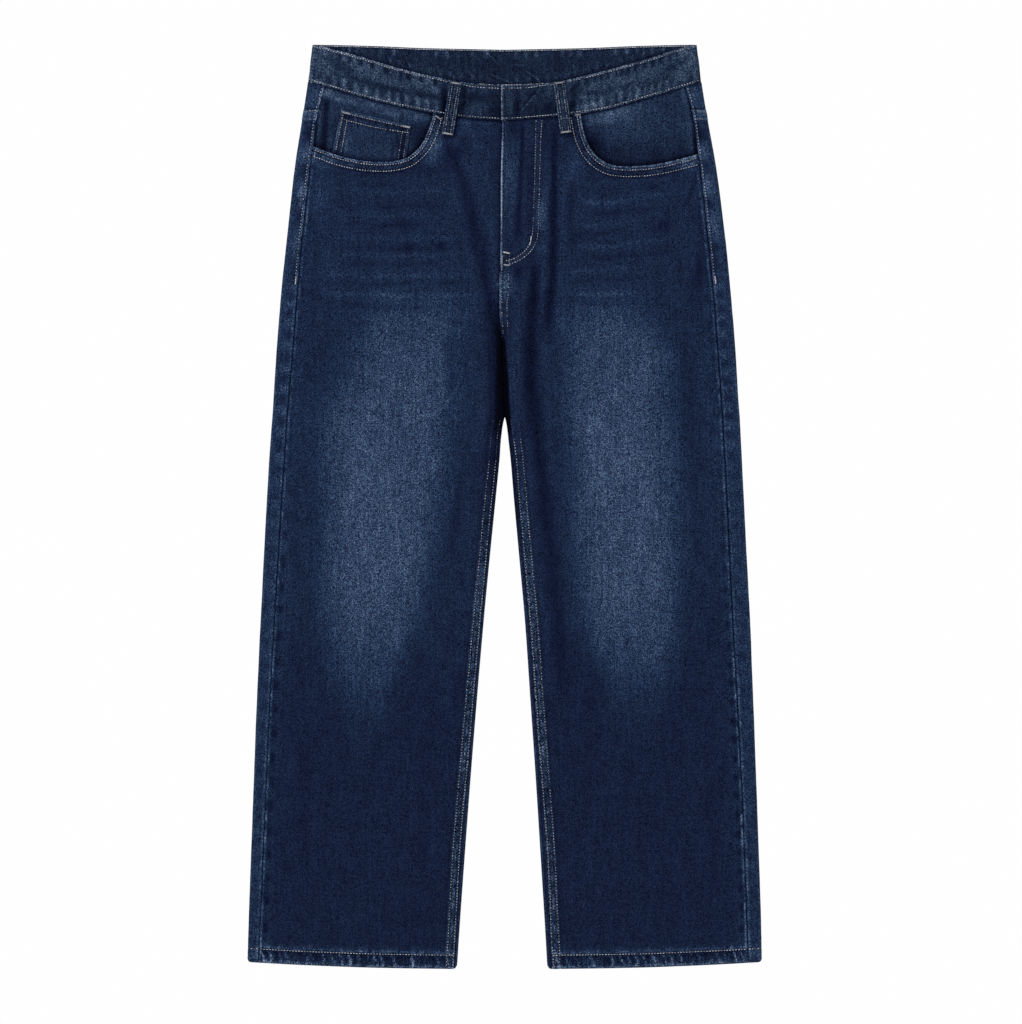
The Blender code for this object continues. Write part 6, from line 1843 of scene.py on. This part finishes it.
def make_patch(side, tag):
    s, t = np.meshgrid(np.linspace(0, 1, 69), np.linspace(0, 1, 73))
    X, Y = patch_point(side, s, t)
    wide, tall = 138.0, 150.0
    e = np.minimum(np.minimum(s, 1 - s) * wide, t * tall)
    d_top = (1 - t) * tall
    blotch = 0.5 + 0.5 * fractal(X / 9.0, Y / 9.0, 901, 2)
    z = 0.04 + 0.25 * (hump(e, 2.2, 0.9) + hump(e, 8.4, 0.9) + hump(d_top, 13.0, 0.9)) + 0.12 * (1 + fractal(X / 30.0, Y / 30.0, 903))
    z = z + 0.5 * np.exp(-(np.minimum(e, d_top) / 0.8) ** 2)
    z = np.clip(z, 0.0, 0.8)
    tone = 0.30 + 0.05 * (blotch - 0.5) + 0.10 * np.exp(-((s - 0.5) / 0.3) ** 2 - ((t - 0.5) / 0.35) ** 2)
    tone = tone + 0.15 * hump(np.minimum(e, d_top), 0.8, 1.0) * (0.4 + blotch)
    base = np.stack([X, Y, np.zeros_like(Y)], -1)
    P = base + np.stack([0 * z, 0 * z, z], -1)
    return shell("patch_pocket_" + tag, P, base, 1.2, -1.0, tone, np.stack([X, Y], -1), DENIM, k=4,
                 slot="denim_back", replaces=["back_pocket_" + tag])


PATCHES = {side: make_patch(side, tag) for side, tag in ((-1, "l"), (1, "r"))}


# ------------------------------------------------------------------ stitches on the front side

# holes gathers dark spots of painted shade in the needle holes.
tan, grey, dark, holes = Thread(), Thread(), Thread(), Thread()


def vertical(side, fn, y0, y1, step=2.0):
    y = np.arange(min(y0, y1), max(y0, y1) + 1e-6, step)
    return np.stack([fn(y), y], 1)


def strip_point(side, x, y):
    a = side * np.asarray(x, float)
    y = np.asarray(y, float)
    yoke = y > 436.0
    z0, _ = strip_detail(side, a, y, False)
    z1, _ = strip_detail(side, a, y, True)
    return np.stack([x, y, high(y) + np.where(yoke, z1, z0)], -1)


for side in (-1, 1):
    # Outseam topstitch on the back strip, from the waistband to its tack.
    y_top = 462.0
    line = vertical(side, lambda y: side * (seam(side, y) + (3.1 if side < 0 else 2.4)), LAP_END_Y - 2, y_top - 2)
    p, n = ups_from(strip_point, side, line)
    grey.row(p, n, pitch=3.4, fill=0.52, radius=0.35, tone=0.62, seed=11 + side, holes=holes)
    y = np.array([LAP_END_Y - 2.2, LAP_END_Y + 6.8])
    p, n = ups_from(strip_point, side, np.stack([side * (seam(side, y) + (2.7 if side < 0 else 3.2)), y], 1))
    tan.tack(p[0], p[1], n[0], width=1.25, tone=0.74, seed=21 + side, pits=holes)
    # Yoke rows on the strip.
    for k, e in enumerate((1.6, 10.6)):
        a = np.linspace(float(seam(side, 430.0)) + 1.2, float(outer(side, 430.0)) - 3.6, 12)
        line = np.stack([side * a, np.full(12, 436.0 - e)], 1)
        p, n = ups_from(strip_point, side, line)
        tan.row(p, n, pitch=2.6, tone=0.36, seed=31 + side + 5 * k, holes=holes)
    # Inseam, two rows from the crotch to the hem.
    for k, d in enumerate((1.1, 8.3) if side < 0 else (1.6, 8.9)):
        wob = lambda y: 0.35 * noise(y / 20.0, k + 3 * side, 1001)
        bound = 52.0 if side < 0 else 76.0
        # Above the bound the rows run on into the hollow under the crotch: their thread is darkened there as painted
        # shadow.
        for y0, y1, level in ((-507.0, bound, 0.46 if k else 0.54), (bound + 3.0, 96.0, 0.02)):
            line = vertical(side, lambda y: side * (front_end(side, y) + d + wob(y)), y0, y1)
            p, n = ups_from(front_point, side, line)
            p[:, 1] += hem_shift(side, side * p[:, 0], line[:, 1])
            seg = p[:, 1] > -507
            (grey if level > -0.1 else dark).row(p[seg], n[seg], pitch=3.15, fill=0.48, radius=0.42, tone=level + 0.04,
                                                 spread=0.26 if level > 0.2 else 0.12,
                                                 seed=41 + side + 7 * k + int(y1), holes=holes if level > 0.2 else None)
    # Hem, one row.
    a = np.arange(float(front_end(side, -493.0)) + 0.8, float(front_edge(side, -493.0)) - 0.5, 1.5)
    depth = HEM_DEEP - 0.1
    p = front_point(side, side * a, -508.0 + depth / (1.0 - HEM_RISE(a) / HEM_FADE))
    p[:, 1] = -508.0 + HEM_RISE(a) + depth
    p[:, 2] += 0.10
    n = np.tile([0.0, 0.0, 1.0], (len(p), 1))
    tan.row(p, n, pitch=3.2, fill=0.62, radius=0.34, tone=0.74, seed=51 + side, holes=holes)
    a = np.arange(float(seam(side, -493.0)) + 0.8, float(outer(side, -493.0)) - 1.6, 1.0)
    y = -508.0 + depth + HEM_RISE(a)
    p = np.stack([side * a, y, high(y) + 0.10], 1)
    tan.row(p, np.tile([0.0, 0.0, 1.0], (len(p), 1)), pitch=3.2, fill=0.62, radius=0.34, tone=0.74, seed=55 + side, holes=holes)
    # Pocket edge, two rows.
    for k, d in enumerate((3.3, 10.3) if side < 0 else (4.2, 11.2)):
        line = resample(offset_line(resample(POCKET_LINE[side], step=2.0), side * d), step=1.2)
        keep = (side * line[:, 0] < front_edge(side, line[:, 1]) - 0.8) & (line[:, 1] < BAND_LOW(line[:, 0]) - 1.2)
        line = line[keep]
        p, n = ups_from(front_point, side, line)
        level = (0.80 if k else 0.66) if side < 0 else (0.68 if k else 0.58)
        tan.row(p, n, pitch=2.9, tone=level, seed=61 + side + 9 * k, holes=holes)

for side, (x0, y0), (x1, y1) in ((-1, (-76.2, 429.4), (-70.4, 425.2)), (1, (77.0, 429.6), (83.5, 430.6))):
    p, n = ups_from(front_point, side, np.array([[x0, y0], [x1, y1]]))
    tan.tack(p[0], p[1], n[0], width=1.8, tone=0.36, seed=66)

# Coin pocket.
for k, d in enumerate((3.6, 11.0)):
    s = np.linspace(0.02, 0.98, 60)
    t = 1 - d / 58.0 + 0 * s
    p, _ = coin_surface(s, t)
    tan.row(p, np.tile([0, 0, 1.0], (60, 1)), pitch=2.7, tone=0.60, spread=0.28, seed=71 + k, holes=holes)
for k, (s0, t1, level) in enumerate(((3.3 / 80, 0.955, 0.48), (9.0 / 80, 0.80, 0.50), (1 - 3.3 / 80, 0.955, 0.26), (1 - 9.0 / 80, 0.80, 0.34))):
    t = np.linspace(0.18, t1, 50)
    p, _ = coin_surface(s0 + 0 * t, t)
    tan.row(p, np.tile([0, 0, 1.0], (50, 1)), pitch=2.7, tone=level, seed=81 + k, holes=holes)
for s0, s1, level in ((0.02, 0.13, 0.38), (0.875, 0.985, 0.48)):
    p, _ = coin_surface(np.array([s0, s1]), np.array([0.945, 0.945]))
    tan.tack(p[0], p[1], (0, 0, 1), width=2.3, tone=level, seed=91, pits=holes)

# Fly.
for k, line in enumerate((FLY_OUTER, FLY_INNER)):
    p, n = ups_from(front_point, 1, resample(line, step=1.2))
    lower = p[:, 1] < 292.0
    (grey if k else tan).row(p[~lower], n[~lower], pitch=2.9, radius=0.31, tone=0.40 if k else 0.34, spread=0.24, seed=101 + k, holes=holes)
    tan.row(p[lower], n[lower], pitch=2.9, radius=0.34, tone=0.58, spread=0.20, seed=103 + k, holes=holes)
line = vertical(1, lambda y: CENTRE_FRONT(y) + 0.15 + 2.9, 274.0, 424.0)
p, n = ups_from(front_point, 1, line)
dark.row(p, n, pitch=2.7, tone=0.55, seed=105)
# The rows below 206 lie in the hollow under the crotch: their thread is darkened there as painted shadow.
for k, (fn, y0, y1, level) in enumerate((
        (lambda y: CENTRE_FRONT(y) + 1.7 + 0.004 * (250.0 - y), 208.0, 264.0, 0.30),
        (lambda y: CENTRE_FRONT(y) + 1.9, CROTCH_Y + 2, 206.0, 0.04),
        (lambda y: CENTRE_FRONT(y) + 7.5 + 1.6 * smooth((y - 222.0) / 12.0), 208.0, 276.0, 0.30),
        (lambda y: CENTRE_FRONT(y) + 7.4, CROTCH_Y + 2, 206.0, 0.12))):
    p, n = ups_from(front_point, 1, vertical(1, fn, y0, y1))
    grey.row(p, n, pitch=2.9, tone=level, seed=107 + k, holes=holes)
p, n = ups_from(front_point, 1, np.array([[-1.9, 279.4], [5.8, 277.8]]))
tan.tack(p[0], p[1], n[0], width=1.9, tone=0.78, seed=111, pits=holes)
p, n = ups_from(front_point, 1, np.array([[-1.2, 265.6], [5.0, 264.6]]))
tan.tack(p[0], p[1], n[0], width=1.4, tone=0.54, seed=112)
p, n = ups_from(front_point, 1, np.array([[-2.8, 276.0], [-3.4, 259.0]]))
tan.tack(p[0], p[1], n[0], width=1.3, tone=0.36, seed=113)
p, n = ups_from(front_point, 1, np.array([[29.2, 297.0], [28.5, 291.5]]))
tan.tack(p[0], p[1], n[0], width=0.95, tone=0.86, seed=114, pits=holes)
p, n = ups_from(front_point, 1, np.array([[28.5, 291.5], [27.0, 286.6]]))
tan.tack(p[0], p[1], n[0], width=0.85, tone=0.74, seed=115)

# Waistband: a row by each edge, outside, and one along the top of the inside.
for side in (-1, 1):
    total = BAND_RUN[side][1][-1]
    runs = np.arange(1.5, total, 1.2)
    for k, q in enumerate((lambda tall: 2.3 + 0 * tall,
                           lambda tall: tall - 2.5 - 1.5 * smooth((46.0 - runs[:len(tall)]) / 16.0))):
        p, n = band_line(side, 1.5, total, q)
        middle = p[:, 0] * side < 62.0
        middle &= p[:, 2] > BAND_MIDDLE
        for part, level in ((middle, 0.66), (~middle, 0.72 if side < 0 and k == 0 else 0.55)):
            tan.row(p[part], n[part], pitch=3.05, tone=level, spread=0.28, seed=121 + side + 4 * k, holes=holes)
    p, n = band_line(side, 1.0, 48.0 if side > 0 else 28.0, lambda tall: tall - 0.35)
    tan.row(p, n, pitch=3.1, fill=0.85, radius=0.30, tone=0.48, sink=0.1, seed=127 + side)
    start = BAND_RUN[side][1][np.searchsorted(BAND_RUN[side][0], 2.0)]
    p, n = band_line(side, start + 2, total, lambda tall: tall - 1.5, inside=True)
    tan.row(p, n, pitch=3.0, fill=0.92, tone=0.72, seed=131 + side)
line_q = np.linspace(3.0, 36.0, 30)
u_all, run_all = BAND_RUN[1]
lo, up, nn = band_frame(1, np.interp([2.9], run_all, u_all))
tall = float(np.linalg.norm(up - lo))
spot = lo + (up - lo) / tall * line_q[:, None]
zz, _ = band_detail(1, np.full(30, 2.9), line_q, tall, 0.0, False, spot[:, 0], spot[:, 1])
p = lo + (up - lo) / tall * line_q[:, None] + nn * zz[:, None]
dark.row(p, np.repeat(nn, 30, 0), pitch=2.7, tone=0.6, seed=135)

# Belt loops.
for k, name in enumerate(LOOPS):
    _, d2, s2, length = loop_frame(name)
    for s0 in (-3.2, 3.2):
        t = np.linspace(3.0, length - 3.0, 50)
        p, _ = loop_surface(name, s0 + 0 * t, t)
        tan.row(p, np.tile([0, 0, 1.0], (50, 1)), pitch=2.5, tone=0.46, seed=141 + k, holes=holes)
    for t0, w, level in ((1.9, 2.2, 0.54), (length - 1.9, 1.9, 0.42)):
        p, _ = loop_surface(name, np.array([-5.6, 5.6]), np.array([t0, t0]))
        tan.tack(p[0], p[1], (0, 0, 1), width=w, tone=level, seed=151 + k, pits=holes)

# ------------------------------------------------------------------ stitches underneath

DOWN = np.array([0.0, 0.0, -1.0])


def flat_row(thread, line, z, **kw):
    p = np.concatenate([line, np.broadcast_to(z, (len(line),))[:, None]], 1)
    thread.row(p, np.tile(DOWN, (len(p), 1)), sink=0.35, **kw)


for side in (-1, 1):
    for k, e in enumerate((1.6, 10.6)):
        a = np.linspace(1.5, 216.0, 140)
        line = np.stack([side * a, YOKE_LINE(a) - e], 1)
        flat_row(tan, line, SEAT_LIFT + 0.12, pitch=3.3, tone=0.45, seed=161 + side + 3 * k)
    a = np.linspace(float(inner(side, -493.0)) + 3.5, float(outer(side, -493.0)) - 3.5, 120)
    line = np.stack([side * a, -508.0 + HEM_DEEP - 0.7 + HEM_RISE(a)], 1)
    flat_row(tan, line, 0.32, pitch=3.3, tone=0.42, seed=171 + side)
    for k, (es, et) in enumerate(((2.2, 2.2), (8.4, 8.4))):
        s = np.concatenate([np.full(40, es / 138), np.linspace(es / 138, 1 - es / 138, 60)[1:-1], np.full(40, 1 - es / 138)])
        t = np.concatenate([np.linspace(0.99, et / 150, 40), np.full(58, et / 150), np.linspace(et / 150, 0.99, 40)])
        x, y = patch_point(side, s, t)
        flat_row(tan, resample(np.stack([x, y], 1), step=1.2), 0.22, pitch=3.2, tone=0.45, seed=181 + side + 2 * k)
    s = np.linspace(0.02, 0.98, 60)
    x, y = patch_point(side, s, np.full(60, 1 - 13.0 / 150))
    flat_row(tan, np.stack([x, y], 1), 0.22, pitch=3.2, tone=0.45, seed=191 + side)
for k, d in enumerate((1.6, 8.0)):
    y = np.arange(210.0, 394.0, 2.0)
    flat_row(tan, np.stack([-(inner(-1, y) + d), y], 1), SEAT_LIFT + 0.12, pitch=3.2, tone=0.45, seed=201 + k)
for k, (name, x) in enumerate(BACK_LOOPS.items()):
    y1 = float(BAND_BACK["up"](abs(x)))
    for s0 in (-4.0, 4.0):
        y = np.linspace(452.0, y1 - 4.0, 40)
        flat_row(tan, np.stack([np.full(40, x + s0), y], 1), 0.2, pitch=2.6, tone=0.42, seed=211 + k)

THREADS = [tan.build("thread_tan_rows", THREAD_TAN), grey.build("thread_grey_rows", THREAD_GREY),
           dark.build("thread_dark_rows", THREAD_DARK), holes.build("needle_hole_shade", NEEDLE_HOLE_SHADE)]


# ------------------------------------------------------------------ declared sheets

def width_area(obj, factor=1.0):
    """Whole surface area of a shell; its flat area is half of this."""
    m = obj.data
    m.calc_loop_triangles()
    t = np.zeros(len(m.loop_triangles) * 3, np.int32)
    m.loop_triangles.foreach_get("vertices", t)
    v = np.zeros(len(m.vertices) * 3, np.float32)
    m.vertices.foreach_get("co", v)
    v = v.reshape(-1, 3).astype(float)
    a, b, c = (v[t.reshape(-1, 3)[:, k]] for k in range(3))
    return float(np.linalg.norm(np.cross(b - a, c - a), axis=1).sum() / 2)


CUT_SIZES = {}


def declare(obj, flat, area):
    CUT_SIZES[obj.name] = (flat, area, width_area(obj) / 2)


declare(FRONT[-1], (0.269, 0.940), 0.206)
declare(FRONT[1], (0.272, 0.940), 0.206)
declare(BACK[-1], (0.300, 0.945), 0.243)
declare(BACK[1], (0.300, 0.945), 0.243)
declare(YOKE[-1], (0.246, 0.071), 0.0104)
declare(YOKE[1], (0.246, 0.071), 0.0104)
declare(BAND, (0.870, 0.041), None)
declare(FACING[-1], (0.148, 0.098), 0.0103)
declare(FACING[1], (0.145, 0.102), 0.0107)
declare(COIN_PIECE, (0.089, 0.068), 0.0046)
for name, obj in LOOP_PIECES.items():
    long = 0.060 if "front" in name else 0.056
    declare(obj, (0.0132, long), None)
declare(PATCHES[-1], (0.147, 0.175), 0.0200)
declare(PATCHES[1], (0.147, 0.175), 0.0200)


# ------------------------------------------------------------------ stage, light, camera

def stage_material():
    mat, tree, shader = nodes_of("stage_white")
    shader.inputs["Base Color"].default_value = (0.0, 0.0, 0.0, 1.0)
    shader.inputs["Roughness"].default_value = 0.95
    shader.inputs["Specular IOR Level"].default_value = 0.0
    shader.inputs["Emission Color"].default_value = (1.0, 1.0, 1.0, 1.0)
    shader.inputs["Emission Strength"].default_value = 0.992
    return mat


floor_mesh = bpy.data.meshes.new("floor")
floor_mesh.from_pydata([(-6, -6, 0), (6, -6, 0), (6, 6, 0), (-6, 6, 0)], [], [(0, 1, 2, 3)])
floor = bpy.data.objects.new("floor", floor_mesh)
floor.location.z = -0.0004
floor_mesh.materials.append(stage_material())
bpy.context.scene.collection.objects.link(floor)

world = bpy.data.worlds.new("studio")
bpy.context.scene.world = world
world.use_nodes = True
world.node_tree.nodes["Background"].inputs["Color"].default_value = (1.0, 1.0, 1.0, 1.0)
world.node_tree.nodes["Background"].inputs["Strength"].default_value = 0.62


def area_light(name, at, target, size, power, color=(1, 1, 1)):
    data = bpy.data.lights.new(name, "AREA")
    data.shape, data.size, data.energy, data.color = "DISK", size, power, color
    obj = bpy.data.objects.new(name, data)
    obj.location = at
    obj.rotation_euler = (Vector(target) - Vector(at)).to_track_quat("-Z", "Y").to_euler()
    bpy.context.scene.collection.objects.link(obj)
    return obj


area_light("key", (-1.9, 1.6, 2.2), (0, 0, 0), 1.2, 62.0)
area_light("fill", (2.2, -0.8, 2.2), (0, 0, 0), 1.8, 22.0)

PX = 1.10 * MM
IMAGE_W = 1022
VIEW_AT = Vector(((511.0 - 504.25) * PX - 0.43 * MM, (506.4 - 512.0) * PX - 0.05 * MM, 0.0))
LENS, SENSOR = 110.0, 36.0
distance = 0.9985 * PX * 1024 * LENS / SENSOR + 0.008
cam_data = bpy.data.cameras.new("camera")
cam_data.lens, cam_data.sensor_width = LENS, SENSOR
cam_data.clip_start, cam_data.clip_end = 0.05, 50.0
cam = bpy.data.objects.new("camera", cam_data)
cam.location = (VIEW_AT.x, VIEW_AT.y, distance)
cam.rotation_euler = (0.0, 0.0, 0.0)
bpy.context.scene.collection.objects.link(cam)
bpy.context.scene.camera = cam
bpy.context.scene.view_settings.view_transform = "Standard"
bpy.context.scene.view_settings.look = "None"

total = sum(len(o.data.loop_triangles) for o in PIECES if o.data.loop_triangles) if PIECES else 0
for o in PIECES:
    o.data.calc_loop_triangles()
    print("piece", o.name, len(o.data.loop_triangles))
print("triangles in all", sum(len(o.data.loop_triangles) for o in PIECES))
print("cut areas", {k: (v[0], v[1], round(v[2], 5)) for k, v in CUT_SIZES.items()})
